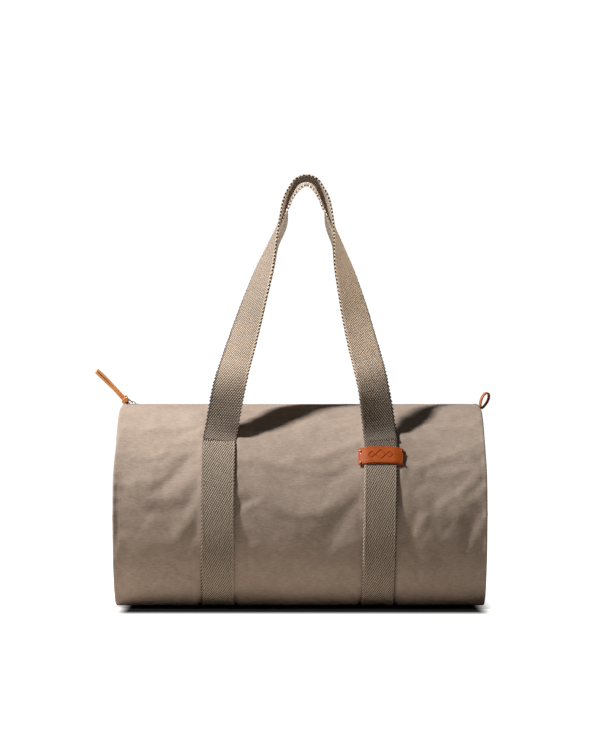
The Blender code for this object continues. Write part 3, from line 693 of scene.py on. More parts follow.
# The webbing's third colour is the painted shade in its gaps
WEB_FINISH = webbing_material("webbing_twill", (0.560, 0.438, 0.322), (0.345, 0.260, 0.184),
                              (0.034, 0.025, 0.017))
WEB_THREAD_FINISH = canvas_material("webbing_thread", (0.42, 0.345, 0.26), (0.28, 0.225, 0.165), 0.0005)
LABEL_FINISH = leather_material("label_leather", (0.49, 0.090, 0.006), (0.33, 0.052, 0.003), 0.04)
THONG_FINISH = leather_material("thong_leather", (0.80, 0.330, 0.105), (0.50, 0.165, 0.045))
# Near-black brown for painted shade: the slit between the lace's tails and the underside of its knot
THONG_SHADE_FINISH = leather_material("thong_painted_shade_leather", (0.16, 0.055, 0.018), (0.08, 0.024, 0.008), 0.0)
LOOP_FINISH = leather_material("loop_leather", (0.66, 0.235, 0.085), (0.40, 0.115, 0.035))
NICKEL_FINISH = metal_material("nickel_plate", (0.80, 0.80, 0.79), (0.58, 0.58, 0.57), 0.26)
BRASS_FINISH = metal_material("rivet_copper", (0.46, 0.25, 0.12), (0.26, 0.13, 0.06), 0.48)


# ---- Canvas, lining and ends ----

def barrel_stations(step):
    """Stations along the barrel, bunched where the canvas turns in at each end."""
    turn = HALF_LENGTH - END_ROUND + END_ROUND * np.sin(np.linspace(0, math.pi / 2, 13))
    inner = HALF_LENGTH - END_ROUND
    count = int(2 * inner / step)
    return np.concatenate([-turn[::-1], np.linspace(-inner, inner, count + 1)[1:-1], turn])


def build_canvas(side, facing):
    """One side of the barrel, from its folded edge at the zip to the middle of the underside."""
    step = 0.0024
    hem = np.array([0.0, 0.0003, 0.0009, 0.0018])
    rows = np.linspace(CANVAS_EDGE_S + hem[-1], HALF_GIRTH, int(0.39 / step))
    x, s = grid_of(barrel_stations(step), np.concatenate([CANVAS_EDGE_S + hem, rows[1:]]))
    depth = canvas_depth(x, s, facing) + end_rounding(x, s)
    depth += np.interp(s - CANVAS_EDGE_S, hem, [0.0012, 0.0006, 0.00015, 0])
    obj = sheet(f"canvas_{side}", side, x, s, depth, CANVAS_FINISH, CANVAS)
    assign(obj, "canvas", None, "body_panel", f"mouth_canvas_{side}")


def build_lining(side, facing):
    x, s = grid_of(np.linspace(-0.2130, 0.2130, 90), np.linspace(CANVAS_EDGE_S + 0.002, HALF_GIRTH, 90))
    depth = np.maximum(canvas_depth(x, s, facing), 0) + LINING_DEPTH + 0.0007 * waves(x, s, 0.03, 4.4)
    depth -= (LINING_DEPTH - 0.0024) * fade(s, 0.010, 0.022)
    obj = sheet(f"lining_{side}", side, x, s, depth, LINING_FINISH, LINING)
    assign(obj, "lining", None, "lining_body", f"mouth_lining_{side}")


def build_end(side, sign):
    """An end panel, bowed out by the filling and puckered by the seam that joins it to the barrel."""
    low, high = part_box(f"end_panel_{side}")
    bulge = 0.62 * (high.x - low.x - CANVAS)
    at = sign * HALF_LENGTH
    middle = np.array([0, 0, HEIGHT / 2])
    count = 240
    half = np.linspace(0, HALF_GIRTH, count // 2 + 1)
    down, up = (skin(0 * half, half, turn_in(half) - 0.0006, facing) for facing in (FRONT, REAR))
    rim = np.concatenate([down, up[-2:0:-1]])
    drawn = pulled_in(at, np.concatenate([half, half[-2:0:-1]]))
    around = np.linspace(0, 2 * math.pi, count, endpoint=False)
    radial = np.stack([np.cos(around) * 3, np.sin(around) * 3], -1)
    pucker = np.array([noise.noise(Vector((a * 4.2, b * 4.2, 6.1 + sign))) for a, b in radial])
    rings = []
    shares = np.concatenate([[1.0, 0.9975, 0.992, 0.984], np.linspace(0.97, 0.02, 36)])
    for share in shares:
        ring = middle + (rim - middle) * share
        soft = np.array([noise.noise(Vector((p[1] / 0.06, p[2] / 0.06, 2.5 * sign))) for p in ring])
        bow = bulge * (1 - share ** 2) + 0.0016 * soft * (1 - share ** 4)
        bow += 0.0020 * pucker * math.exp(-(1 - share) / 0.16) * min(1, (1 - share) / 0.08)
        bow -= 0.0004 + 0.0014 * fade(1 - share, 0.0, 0.06) + drawn * share ** 2
        ring[:, 0] = at + sign * bow
        rings.append(ring)
    tip = rings[-1].mean(0)
    points = np.concatenate([np.concatenate(rings), [tip]])
    faces = grid_faces(len(rings), count, wrap=True).tolist()
    last = (len(rings) - 1) * count
    faces += [[last + j, last + (j + 1) % count, len(points) - 1] for j in range(count)]
    mesh = make_mesh(f"end_{side}", points, faces, np.stack([points[:, 1], points[:, 2]], -1))
    turn_outwards(mesh)
    normal_x = np.mean([p.normal.x for p in mesh.polygons])
    if normal_x * sign < 0:
        mesh.flip_normals()
    obj = link(f"end_{side}", mesh, CANVAS_FINISH)
    thicken(obj, CANVAS)
    assign(obj, "canvas", "shell", f"end_panel_{side}")


# ---- Webbing ----

def through(knots, values, at):
    """The values, numbers or points, of a smooth curve through the knots at the given places."""
    values = np.array(values)
    slopes = np.gradient(values, knots, axis=0)
    k = np.clip(np.searchsorted(knots, at, side="right") - 1, 0, len(knots) - 2)
    span, t = knots[k + 1] - knots[k], at - knots[k]
    if values.ndim > 1:
        span, t = span[:, None], t[:, None]
    t = t / span
    return ((2 * t ** 3 - 3 * t ** 2 + 1) * values[k] + (t ** 3 - 2 * t ** 2 + t) * span * slopes[k]
            + (3 * t ** 2 - 2 * t ** 3) * values[k + 1] + (t ** 3 - t ** 2) * span * slopes[k + 1])


def run_along(points):
    """The distance along the points to each of them."""
    return np.concatenate([[0], np.cumsum(np.linalg.norm(np.diff(points, axis=0), axis=1))])


def handle_frames(side, facing, count):
    """(centres, directions across, outward normals) along a handle, left anchor to right anchor."""
    pivot = np.array(JOINTS[f"handle_{side}_fold"]["pos_m"])
    lean = np.array([0, facing * math.sin(ROOT_TILT), math.cos(ROOT_TILT)])
    away = np.array([0, facing * math.cos(ROOT_TILT), -math.sin(ROOT_TILT)])
    root = pivot + lean * 0.0003 - away * (WEB / 2)
    apex = np.array([APEX_X, facing * APEX_Y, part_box(f"handle_{side}")[1].z - 0.0037])

    def leg(end):
        shoulder = (FRONT_SHOULDER,) if facing == FRONT else ()
        shares = ((0, 0, 0), *shoulder, *LEG_CURVE[end], (1, 1, 1))
        return [(apex[0] + (STRAP_X[end][0] - apex[0]) * sideways, apex[1] + (root[1] - apex[1]) * outwards,
                 apex[2] + (root[2] - apex[2]) * down) for down, sideways, outwards in shares]

    knots = np.array(leg("left")[::-1] + leg("right")[1:])
    at = run_along(knots)
    centres = through(at, knots, np.linspace(0, at[-1], count))
    share = (centres[:, 2].max() - centres[:, 2]) / np.ptp(centres[:, 2])
    centres[:, 1] = facing * through(np.array(BOW_AT), BOW, share)
    if facing == REAR:
        centres[:, 0] *= 1 + 0.052 * window(share, 0.20, 0.40, 0.86, 1.0)
        inside = 0.0028 * window(share, 0.02, 0.10, 0.15, 0.25)
        centres[:, 0] -= inside * np.sign(centres[:, 0] - apex[0])
    tangents = unit(np.gradient(centres, axis=0))
    on_left = np.arange(count) < np.argmax(centres[:, 2])
    turn = np.where(on_left, *(np.interp(share, TWIST_AT, TWIST_DEGREES[end]) for end in ("left", "right")))
    if facing == REAR:
        turn = turn + 14.0 * window(share, 0.07, 0.14, 0.17, 0.25)
    turn = np.radians(np.convolve(np.pad(turn, 12, "edge"), np.full(25, 0.04), "valid"))[:, None]
    arch = unit(np.cross(tangents, [0, 1, 0]))
    across = np.array([0, facing, 0]) * np.cos(turn) - arch * np.sin(turn)
    across = unit(across - tangents * np.sum(across * tangents, axis=1)[:, None])
    normals = np.cross(across, tangents)
    outer = np.array([0, facing, 0])
    if normals[0] @ outer < 0:
        normals = -normals
    return centres, across, normals


def tuck(centres, across, normals, facing):
    """The handle's ends carried on a little way inside the ends of the sewn straps."""
    parts = centres, across, normals
    for side in ("left", "right"):
        end = [part[:9] for part in sewn_frames(side, facing, 700)]
        end[0] = end[0] - end[2] * 0.0003
        parts = [np.concatenate([e[::-2], p] if side == "left" else [p, e[::2]]) for e, p in zip(end, parts)]
    return parts


def sewn_frames(side, facing, count):
    """The same along a sewn strap, from its anchor to the middle of the underside."""
    s = np.linspace(ANCHOR_S, HALF_GIRTH, count)
    x = strap_x(side, s)
    centres = skin(x, s, channel(s) - SEWN_LIFT - WEB / 2 + strap_press(x, s), facing)
    across = np.tile([-1 if side == "right" else 1, 0.0, 0.0], (count, 1))
    return centres, across, outward(s, facing)


def strap_press(x, s):
    """A gentle unevenness of the sewn straps."""
    on_side = window(s, 0.115, 0.15, FLAT_S - 0.07, FLAT_S - 0.03)
    return 0.35 * (0.0010 * waves(x, s, 0.06, 3.7) * on_side)


HANDLES = []
EDGE = np.concatenate([np.linspace(-1, -0.86, 6), np.linspace(-0.7, 0.7, 9), np.linspace(0.86, 1, 6)])
ROUNDED = (np.abs(EDGE) - 0.90) / 0.10
EDGE_HIGH = np.where(np.abs(EDGE) < 0.90, 1.0, np.sqrt(np.clip(1 - ROUNDED ** 2, 0, 1)))


def webbing(name, frames, pattern, loose, painted_shade):
    """A length of webbing along its frames. Loose edges are more ragged than those sewn down. The last
    argument darkens it point by point: painted shade.
    """
    centres, across, normals = frames
    rows = []
    faces = [(e, h, 1) for e, h in zip(EDGE, EDGE_HIGH)]
    for edge, high, face in faces + [(e, h, -1) for e, h, _ in faces[-2:0:-1]]:
        phase = edge * WEB_WIDTH / 2 / RIB_ACROSS + pattern / RIB_ALONG
        saw = (phase % 1.0) ** 0.9 - 0.6
        reach = WEB_WIDTH / 2 - 0.0004 + TOOTH * saw * loose * smoothstep(abs(edge), 0.8, 1.0)
        ripple = 0.00012 * np.sin(2 * math.pi * phase) * (1 if abs(edge) > 0.8 else 0)
        rows.append(centres + across * (edge * reach)[:, None]
                    + normals * (face * (high * WEB / 2 + ripple))[:, None])
    rings = np.stack(rows, axis=1)
    widths = np.concatenate([EDGE, EDGE[-2:0:-1]]) * WEB_WIDTH / 2
    uvs = np.stack(np.broadcast_arrays(widths[None, :], pattern[:, None]), -1).reshape(-1, 2)
    obj = tube(name, rings, WEB_FINISH, uvs=uvs)
    mark_points(obj, "Painted_Shade", np.repeat(painted_shade, rings.shape[1]))
    return obj


def build_webbing(side, facing):
    """The handle's webbing, and the straps sewn down from its ends to the middle of the underside."""
    pitch = 0.0009
    frames = tuck(*handle_frames(side, facing, int(0.74 / pitch)), facing)
    run = run_along(frames[0])
    apex = run[np.argmax(frames[0][:, 2])]
    rise = window(run, 0.003, 0.022, run[-1] - 0.022, run[-1] - 0.003)
    from_end = np.minimum(run, run[-1] - run) - 0.003
    # Painted shade near each root of the handle, darkest close to the seam
    painted_shade = window(from_end, -0.002, 0.002, 0.050, 0.105)
    painted_shade = painted_shade * (0.9 + 0.45 * fade(from_end, 0.010, 0.024))
    handle = webbing(f"webbing_handle_{side}", frames, np.abs(run - apex), 0.6 + 0.4 * rise, painted_shade)
    follow(handle, f"{side}_handle", np.repeat(rise, len(handle.data.vertices) // len(rise)))
    assign(handle, "webbing", None, f"handle_{side}")
    HANDLES.append(handle)
    for strap, ahead in (("left", apex), ("right", run[-1] - apex)):
        frames = sewn_frames(strap, facing, int(0.292 / pitch))
        down = run_along(frames[0])
        pattern = ahead + down if strap == "left" else ahead - down
        above_label = strap == "right" and facing == FRONT
        # Painted shade on the right front strap, from the handle down to the label
        painted_shade = 1.2 * fade(down, 0.0070, 0.0085) if above_label else 0 * down
        obj = webbing(f"webbing_strap_{strap}_{side}", frames, pattern, 0.45, painted_shade)
        assign(obj, "webbing", "shell", f"strap_{strap}")


def build_strap_stitches(side, facing):
    """Two rows of thread along each sewn strap, and one across it where the handle leaves it."""
    across_s = ANCHOR_S + 0.0045
    run = np.arange(ANCHOR_S + 0.008, FLAT_S - 0.012, STRAP_STITCH)
    for strap in ("left", "right"):
        rows = []
        for offset in (-0.0172, 0.0172):
            depth = channel(run) - SEWN_LIFT - WEB + strap_press(strap_x(strap, run), run)
            base = skin(strap_x(strap, run), run, depth, facing)
            base[:, 0] += offset
            rows.append((base, unit(np.gradient(base, axis=0)), outward(run, facing)))
        x = strap_x(strap, across_s) + np.arange(-0.0158, 0.0160, STRAP_STITCH)
        level = np.full(len(x), across_s)
        base = skin(x, level, channel(level) - SEWN_LIFT - WEB, facing)
        rows.append((base, along_x(x), outward(level, facing)))
        obj, _ = stitches(f"strap_thread_{strap}_{side}", rows, 0.0030, 0.00040, WEB_THREAD_FINISH)
        assign(obj, "webbing", "shell")


def build_canvas_stitches(side, facing):
    """A topstitched row beside the zip, and one beside each end seam."""
    run = np.arange(-0.206, 0.207, TOPSTITCH)
    s = np.full(len(run), CANVAS_EDGE_S + 0.0030)
    row = (skin(run, s, canvas_depth(run, s, facing), facing), along_x(run), outward(s, facing))
    obj, per = stitches(f"zip_topstitch_{side}", [row], 0.0027, 0.00030, THREAD_FINISH)
    follow(obj, f"mouth_{side}", np.repeat(gape(run, s), per))
    s = np.arange(0.012, FLAT_S, TOPSTITCH)
    rows = []
    for sign in (-1, 1):
        x = np.full(len(s), sign * (HALF_LENGTH - 0.0085))
        base = skin(x, s, canvas_depth(x, s, facing), facing)
        rows.append((base, unit(np.gradient(base, axis=0)), outward(s, facing)))
    obj, _ = stitches(f"end_topstitch_{side}", rows, 0.0027, 0.00022, THREAD_FINISH)
    assign(obj, "canvas", "shell")


# ---- Zip ----

def build_tape(side):
    low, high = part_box(f"zip_tape_{side}")
    inner, outer = sorted((abs(low.y), abs(high.y)))
    x, s = grid_of(np.linspace(low.x, high.x, 140), np.linspace(inner - 0.0003, outer, 9))
    depth = HEIGHT - high.z + 0.0001 * waves(x, s, 0.02, 8.8)
    obj = sheet(f"tape_{side}", side, x, s, depth, TAPE_FINISH, TAPE)
    assign(obj, "zip_tape", None, f"zip_tape_{side}")


def build_teeth(side, facing):
    """Cast teeth clamped on the tape's beaded edge, each reaching between two of the other side."""
    low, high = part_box(f"zip_teeth_{side}")
    start = low.x + (TOOTH_PITCH / 2 if facing == REAR else 0)
    xs = np.arange(start + 0.001, high.x - 0.001, TOOTH_PITCH)
    middle = (low.z + high.z) / 2
    plan = ((-0.0006, 0.75), (-0.0002, 0.95), (0.0016, 0.95), (0.0030, 1.0), (0.0042, 0.8))  # (reach, width)
    octagon = ((-1, -0.7), (-0.7, -1), (0.7, -1), (1, -0.7), (1, 0.7), (0.7, 1), (-0.7, 1), (-1, 0.7))
    thick, half = (high.z - low.z) / 2, 0.00062
    tooth = []
    for reach, wide in plan:
        tall = thick * (0.62 if reach < 0.0016 else 1.0)
        tooth += [(half * wide * across, facing * reach, middle + tall * up) for across, up in octagon]
    per = len(tooth)
    points = np.array(tooth)[None] + np.stack([xs, xs * 0, xs * 0], -1)[:, None]
    one = grid_faces(len(plan), 8, wrap=True).tolist()
    one += [list(range(8))[::-1], list(range(per - 8, per))]
    mesh = make_mesh(f"teeth_{side}", points.reshape(-1, 3), copies(one, per, len(xs)))
    turn_outwards(mesh)
    obj = link(f"teeth_{side}", mesh, NICKEL_FINISH)
    obj.data.set_sharp_from_angle(angle=math.radians(40))
    follow(obj, f"mouth_{side}", np.repeat(gape(xs, 0 * xs), per))
    assign(obj, "nickel", None, f"zip_teeth_{side}")


def build_zip_tab(side):
    """The folded canvas tab sewn across an end of the zip."""
    low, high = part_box(f"zip_end_tab_{side}")
    half, thick = 0.0105, 0.0010
    x, y = grid_of(np.linspace(low.x, high.x, 24), np.linspace(-half, half, 25))
    s = np.abs(y)
    lift = 0.0005 - 0.0003 * smoothstep(s, 0.0088, half)
    lift = lift - 0.0006 * fade(np.minimum(x - low.x, high.x - x), 0, 0.0010)
    top, under = (skin(x, s, end_rounding(x, s) - lift + down, REAR) for down in (0, thick))
    for surface in (top, under):
        surface[..., 1] *= np.sign(y)
    obj = slab(f"zip_tab_{side}", top, under, CANVAS_FINISH, np.stack([x, y], -1).reshape(-1, 2))
    assign(obj, "canvas", "shell", f"zip_end_tab_{side}")


def polish(node, finish, width):
    """A CAD piece whose shape is right, given its finish and softened edges."""
    obj = frame["nodes"][node]
    paint(obj, finish)
    soften(obj, width)


def paint(obj, finish):
    obj.data.materials.clear()
    obj.data.materials.append(finish)


def soften(obj, width):
    bevel = obj.modifiers.new("Soften", "BEVEL")
    bevel.width = width
    bevel.segments = 3
    bevel.limit_method = "ANGLE"


def build_stop(side):
    """The CAD's top stop with softened edges, which stays with its tape as the mouth opens."""
    source = frame["nodes"][f"zip_top_stop_{side}"]
    mesh = source.data.copy()
    mesh.transform(source.matrix_world)
    mesh.materials.clear()
    obj = link(f"top_stop_{side}", mesh, NICKEL_FINISH, smooth=False)
    soften(obj, 0.0002)
    x = np.array([v.co.x for v in mesh.vertices])
    follow(obj, f"mouth_{side}", gape(x, 0 * x))
    assign(obj, "nickel", None, f"zip_top_stop_{side}")


# ---- Pull, label and loop ----

def round_profile(count):
    angles = np.linspace(0, 2 * math.pi, count, endpoint=False)
    return np.cos(angles), np.sin(angles)


def build_ring():
    """The wire ring in the slider's bridge."""
    pivot = np.array(JOINTS["pull_swing"]["pos_m"])
    low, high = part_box("pull_ring")
    rise = math.radians(40)
    along = np.array([-math.cos(rise), 0, math.sin(rise)])
    wire, length, half = 0.0006, 0.0108, high.y - 0.0006
    turn = np.linspace(0, 2 * math.pi, 48, endpoint=False)
    path = pivot + np.outer(length / 2 * (1 - np.cos(turn)), along)
    path[:, 1] += half * np.sign(np.sin(turn)) * np.abs(np.sin(turn)) ** 0.7
    tangent = unit(np.roll(path, -1, 0) - np.roll(path, 1, 0))
    over = np.cross(along, [0, 1, 0])
    side = np.cross(tangent, over)
    cos, sin = round_profile(12)
    rings = path[:, None] + side[:, None] * (cos * wire)[None, :, None] + over * (sin * wire)[None, :, None]
    assign(tube("ring", rings, NICKEL_FINISH, closed=True), "nickel", "pull", "pull_ring")
    return pivot + along * length


def strip(name, path, widths, thick, finish, normal_hint, body, *nodes, across=(0.0, 1.0, 0.0)):
    """A flat strip of leather along a path: its edges are slightly rounded and its face is crowned."""
    tangent = unit(np.gradient(path, axis=0))
    across = np.array(across)
    normal = unit(np.cross(tangent, across))
    if normal[len(normal) // 2] @ np.array(normal_hint) < 0:
        normal = -normal
    share = np.array([-1, -0.93, -0.8, -0.4, 0, 0.4, 0.8, 0.93, 1])
    high = np.array([0.0, 0.72, 0.95, 1.0, 1.03, 1.0, 0.95, 0.72, 0.0])
    section = [*zip(share, high), *zip(share[-2:0:-1], -high[-2:0:-1])]
    rows = [path + across * (a * widths / 2)[:, None] + normal * (h * thick / 2) for a, h in section]
    assign(tube(name, np.stack(rows, axis=1), finish), "leather", body, *nodes)


def build_thong(ring_end):
    """A leather lace folded through the ring: knotted close to it, with two tails lying together."""
    low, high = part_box("pull_thong")
    tip = np.array([low.x + 0.0008, 0, high.z - 0.0003])
    knot = np.array([ring_end[0] - 0.0003, 0, ring_end[2] - 0.0050])
    start = knot + np.array([-0.0012, 0, 0.0018])
    along = unit(tip - start)
    over = np.cross(along, [0, 1, 0])
    if over[2] < 0:
        over = -over
    reach = np.linalg.norm(tip - start)
    t = np.linspace(0, 1, 60)[:, None]
    tails = ("thong_tail_upper", 1, 1.0, "pull_thong"), ("thong_tail_lower", -1, 0.985)
    for name, sign, end, *nodes in tails:
        bow = 0.0007 * np.sin(math.pi * t) + 0.0001 * np.sin(3 * math.pi * t + sign)
        gap = 0.00140 + 0.00040 * smoothstep(t, 0.30, 0.85)
        path = start + along * (reach * end * t) + over * (bow + sign * gap)
        widths = 0.0046 * (1 - 0.18 * t[:, 0]) * (1 - 0.5 * smoothstep(t[:, 0], 0.985, 1.0))
        strip(name, path, widths, 0.00285, THONG_FINISH, over, "pull", *nodes)
    # A dark strip between the tails: painted shade in the slit where they part
    slit = start + along * (reach * 0.97 * t) + over * (0.0007 * np.sin(math.pi * t))
    strip("thong_slit_painted_shade", slit, np.full(60, 0.0030), 0.0014, THONG_SHADE_FINISH, over, "pull")
    build_knot(knot, ring_end)


def build_knot(knot, ring_end):
    """The lace turned tightly round itself, and its bight over the end of the ring."""
    turns = np.linspace(0, 2 * math.pi * 1.75, 120)
    axis = unit(np.array([-0.62, 0, 0.78]))
    side = np.array([0.0, 1.0, 0.0])
    over = np.cross(axis, side)
    radius = 0.0031 + 0.0002 * np.sin(turns * 2)
    path = (knot + np.outer(radius * np.cos(turns), side) * 1.05 + np.outer(radius * np.sin(turns), over)
            + np.outer((turns / turns[-1] - 0.5) * 0.0042, axis))
    tangent = unit(np.gradient(path, axis=0))
    out = unit(path - knot - np.outer((path - knot) @ axis, axis))
    wide = np.cross(tangent, out)
    cos, sin = round_profile(14)
    flat_cos = np.sign(cos) * np.abs(cos) ** 0.7
    rings = (path[:, None] + wide[:, None] * (flat_cos * 0.00215)[None, :, None]
             + out[:, None] * (np.sign(sin) * np.abs(sin) ** 0.7 * 0.00125)[None, :, None])
    assign(tube("thong_knot", rings, THONG_FINISH), "leather", "pull")
    # A dark lump under the knot: painted shade on its lower side
    core_t = np.linspace(-0.0028, 0.0030, 12)
    core_r = 0.0026 * np.sqrt(np.clip(1 - (core_t / 0.0034) ** 2, 0.05, 1))
    core = (knot + np.outer(core_t, axis))[:, None] + (core_r[:, None, None] * (
        side * cos[None, :, None] + over * sin[None, :, None]))
    core = core + np.array([0.0014, -0.0021, -0.0015])
    assign(tube("thong_knot_painted_shade", core, THONG_SHADE_FINISH), "leather", "pull")
    t = np.linspace(0, math.pi, 30)
    top = ring_end + np.array([0.0004, 0, 0.0002])
    path = [top[0] - 0.0018 * np.cos(t) - 0.0004, 0 * t, top[2] - 0.0022 + 0.0034 * np.sin(t)]
    strip("thong_bight", np.stack(path, -1), np.full(30, 0.0040), 0.0013, THONG_FINISH, (0, 0, 1), "pull")


def build_loop():
    """A narrow leather strip folded into a teardrop and sewn into the end seam."""
    low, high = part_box("end_loop")
    seam = JOINTS["end_loop_flex"]["pos_m"]
    base = np.array([seam[0] - 0.0020, 0, seam[2] - 0.0010])
    rise = math.radians(69)
    along = np.array([math.cos(rise), 0, math.sin(rise)])
    face = math.radians(27)
    side = np.array([-along[2] * math.cos(face), -math.sin(face), along[0] * math.cos(face)])
    across = np.cross(along, side)
    turn = np.linspace(0, 2 * math.pi, 90)
    forward = (high.z - low.z + 0.0004) * (1 - np.cos(turn)) / 2
    spread = 0.0050 * np.sin(turn) * np.sin(turn / 2) ** 0.6 + 0.0006 * np.cos(turn / 2)
    path = base + np.outer(forward, along) - np.outer(spread, side)
    path += np.outer(0.0010 * np.sin(turn / 2) ** 2, [1, 0, 0])
    strip("loop_strip", path, np.full(90, 0.0050), 0.0019, LOOP_FINISH, (0, 0, 1), "loop", "end_loop",
          across=across)


def mark_depth(x, y):
    """The label's blind stamp: a row of three plain diamonds, the middle one larger."""
    stamp = np.zeros_like(x)
    for centre, size in ((-0.0105, 0.0040), (0.0, 0.0062), (0.0105, 0.0040)):
        diamond = np.abs(x - centre) + np.abs(y)
        stamp += fade(np.abs(diamond - size), 0.0004, 0.0010)
    return np.clip(stamp, 0, 1)


def build_label():
    """A leather label with rounded corners, bent over the strap and held by a rivet at each corner."""
    low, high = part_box("label")
    half_x = (high.x - low.x) / 2
    middle = (high.x + low.x) / 2
    s_low, s_high = 0.1196, 0.1416
    half_s = (s_high - s_low) / 2
    nx, ny = ((170, 76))
    u, v = grid_of(np.linspace(-1, 1, nx), np.linspace(-1, 1, ny))
    corner = 0.0016
    dx, dy = u * half_x, v * half_s
    over_x = np.clip(np.abs(dx) - (half_x - corner), 0, corner)
    trim = corner - np.sqrt(np.maximum(corner ** 2 - over_x ** 2, 0))
    dy = dy * (half_s - trim) / half_s
    bow = 0.0016 * (1 - u ** 2)
    x = middle + dx
    s = (s_low + s_high) / 2 + dy - bow
    lift = SEWN_LIFT * 2 + WEB - 0.0031 * smoothstep(np.abs(dx), 0.0140, 0.0310)
    lift = lift + 0.0008 * smoothstep(v, 0.2, 1.0) * (1 - u ** 2)
    inset = np.minimum(half_x - np.abs(dx), half_s - trim - np.abs(dy))
    crown = 0.0016 - 0.0007 * fade(inset, 0.0, 0.0011) - 0.0006 * mark_depth(dx, dy)
    crown -= 0.00018 * fade(np.abs(inset - 0.0022), 0.00015, 0.0005)
    obj = slab("leather_label", skin(x, s, -lift - crown, FRONT), skin(x, s, -lift, FRONT), LABEL_FINISH)
    # The stamp mask, by which the leather's colour paints shade into the grooves
    stamp = np.concatenate([mark_depth(dx, dy).ravel(), np.zeros(dx.size)])
    mark_points(obj, "Stamp", stamp)
    assign(obj, "leather", "shell", "label")


# ---- Studio ----

def build_stage():
    """A pale floor that curves up into a backdrop. The shadow under the bag is seen only by the camera, and
    the floor reflects a warm light near the bag."""
    profile = [(-4.0, 0.0), (2.4, 0.0)]
    profile += [(2.4 + 1.5 * math.sin(a), 1.5 - 1.5 * math.cos(a)) for a in np.linspace(0.1, math.pi / 2, 14)]
    profile += [(3.9, 5.0)]
    points = [(x, y, z - 0.0004) for y, z in profile for x in (-6.0, 6.0)]
    faces = [[2 * i, 2 * i + 1, 2 * i + 3, 2 * i + 2] for i in range(len(profile) - 1)]
    shader = Shader("studio_floor", 0.9)
    spot = shader.node("ShaderNodeSeparateXYZ", Vector=shader.place())
    x_out = shader.math("ABSOLUTE", shader.less(spot.outputs["X"], SHADOW_X))
    y_out = shader.math("ABSOLUTE", shader.less(spot.outputs["Y"], SHADOW_Y))
    soft = {"interpolation_type": "SMOOTHSTEP"}
    clear_x = shader.ramp(x_out, soft, From_Min=0.203, From_Max=0.228)
    clear_y = shader.ramp(y_out, soft, From_Min=0.103, From_Max=0.173)
    clear = shader.less(1.0, shader.mul(shader.less(1.0, clear_x), shader.less(1.0, clear_y)))
    seen = shader.node("ShaderNodeLightPath").outputs["Is Camera Ray"]
    dark = shader.mul(seen, shader.less(1.0, clear))
    near = shader.ramp(y_out, soft, From_Min=0.14, From_Max=0.42, To_Min=1.0, To_Max=0.0)
    plain = shader.mix(near, (0.34, 0.33, 0.315), (0.66, 0.61, 0.55))
    shader.colour(shader.mix(dark, plain, (0.010, 0.010, 0.010)))
    shader.feed(shader.out.inputs["Emission Color"], (1, 1, 1, 1))
    shader.feed(shader.out.inputs["Emission Strength"], shader.mul(seen, clear))
    shader.set(Specular_IOR_Level=0.0)
    mesh = bpy.data.meshes.new("floor")
    mesh.from_pydata(points, [], faces)
    floor = link("floor", mesh, shader.material)


def light(name, kind, place, target, power, colour=(1, 1, 1), receivers=(), **settings):
    """A light aimed at a target, which lights only the receivers if there are any."""
    data = bpy.data.lights.new(name, kind)
    data.energy = power
    data.color = colour
    for key, value in settings.items():
        setattr(data, key, value)
    obj = to_scene(bpy.data.objects.new(name, data))
    obj.location = place
    obj.rotation_euler = (Vector(target) - Vector(place)).to_track_quat("-Z", "Y").to_euler()
    if receivers:
        lit = bpy.data.collections.new(f"{name}_receivers")
        for receiver in receivers:
            lit.objects.link(receiver)
        obj.light_linking.receiver_collection = lit


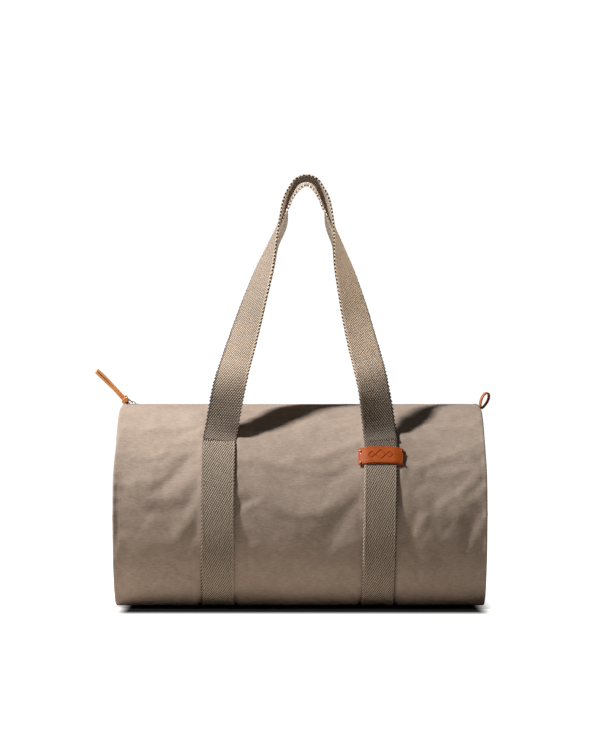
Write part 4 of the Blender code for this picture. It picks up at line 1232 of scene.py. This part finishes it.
def light_scene():
    """A small soft key from the upper left, a narrow accent on the right leg of the handles, and two weak
    lights without shadows on the rear handle."""
    middle = Vector((0, 0, 0.15))
    light("key", "AREA", middle + KEY_FROM * KEY_REACH, middle, 36, (0.985, 0.995, 1.035),
          shape="DISK", size=0.16)
    light("accent", "SPOT", middle + KEY_FROM * Vector((-1, 1, 1)) * KEY_REACH, (0.062, -0.050, 0.440), 92,
          (1.0, 0.93, 0.86), HANDLES, shadow_soft_size=0.06, spot_size=math.radians(15), spot_blend=0.35)
    for number, side in enumerate((-1, 1)):
        light(f"rear_accent_{number}", "AREA", (1.3 * side, -1.5, 0.25), (0, 0, 0.45), 45,
              receivers=HANDLES[1:], shape="DISK", size=0.5, use_shadow=False)
    world = bpy.data.worlds.new("studio")
    world.use_nodes = True
    back = world.node_tree.nodes["Background"]
    back.inputs["Color"].default_value = (1, 1, 1, 1)
    paths = world.node_tree.nodes.new("ShaderNodeLightPath")
    seen = world.node_tree.nodes.new("ShaderNodeMath")
    seen.operation = "MULTIPLY_ADD"
    seen.inputs[1].default_value = 0.947
    seen.inputs[2].default_value = 0.053
    world.node_tree.links.new(paths.outputs["Is Camera Ray"], seen.inputs[0])
    world.node_tree.links.new(seen.outputs[0], back.inputs["Strength"])
    bpy.context.scene.world = world
    bpy.context.scene.view_settings.view_transform = "Standard"


def place_camera():
    data = bpy.data.cameras.new("camera")
    data.sensor_width = SENSOR
    data.lens = SENSOR * FOCAL_PIXELS / PHOTO_HEIGHT
    data.clip_end = 50
    camera = to_scene(bpy.data.objects.new("camera", data))
    camera.location = CAMERA_AT
    camera.rotation_euler = (math.pi / 2, 0, 0)
    bpy.context.scene.camera = camera


for side_facing in SIDES.values():
    settle(side_facing)
for side_name, side_facing in SIDES.items():
    build_canvas(side_name, side_facing)
    build_lining(side_name, side_facing)
    build_webbing(side_name, side_facing)
    build_strap_stitches(side_name, side_facing)
    build_canvas_stitches(side_name, side_facing)
    build_tape(side_name)
    build_teeth(side_name, side_facing)
    build_stop(side_name)
for end_name, end_sign in (("left", -1), ("right", 1)):
    build_end(end_name, end_sign)
    build_zip_tab(end_name)
    paint(frame["nodes"][f"lining_end_{end_name}"], LINING_FINISH)
polish("zip_bottom_stop", NICKEL_FINISH, 0.0002)
polish("zip_slider", NICKEL_FINISH, 0.00025)
for number in range(1, 5):
    polish(f"label_rivet_{number}", BRASS_FINISH, 0.0001)
build_thong(build_ring())
build_loop()
build_label()
build_stage()
light_scene()
place_camera()
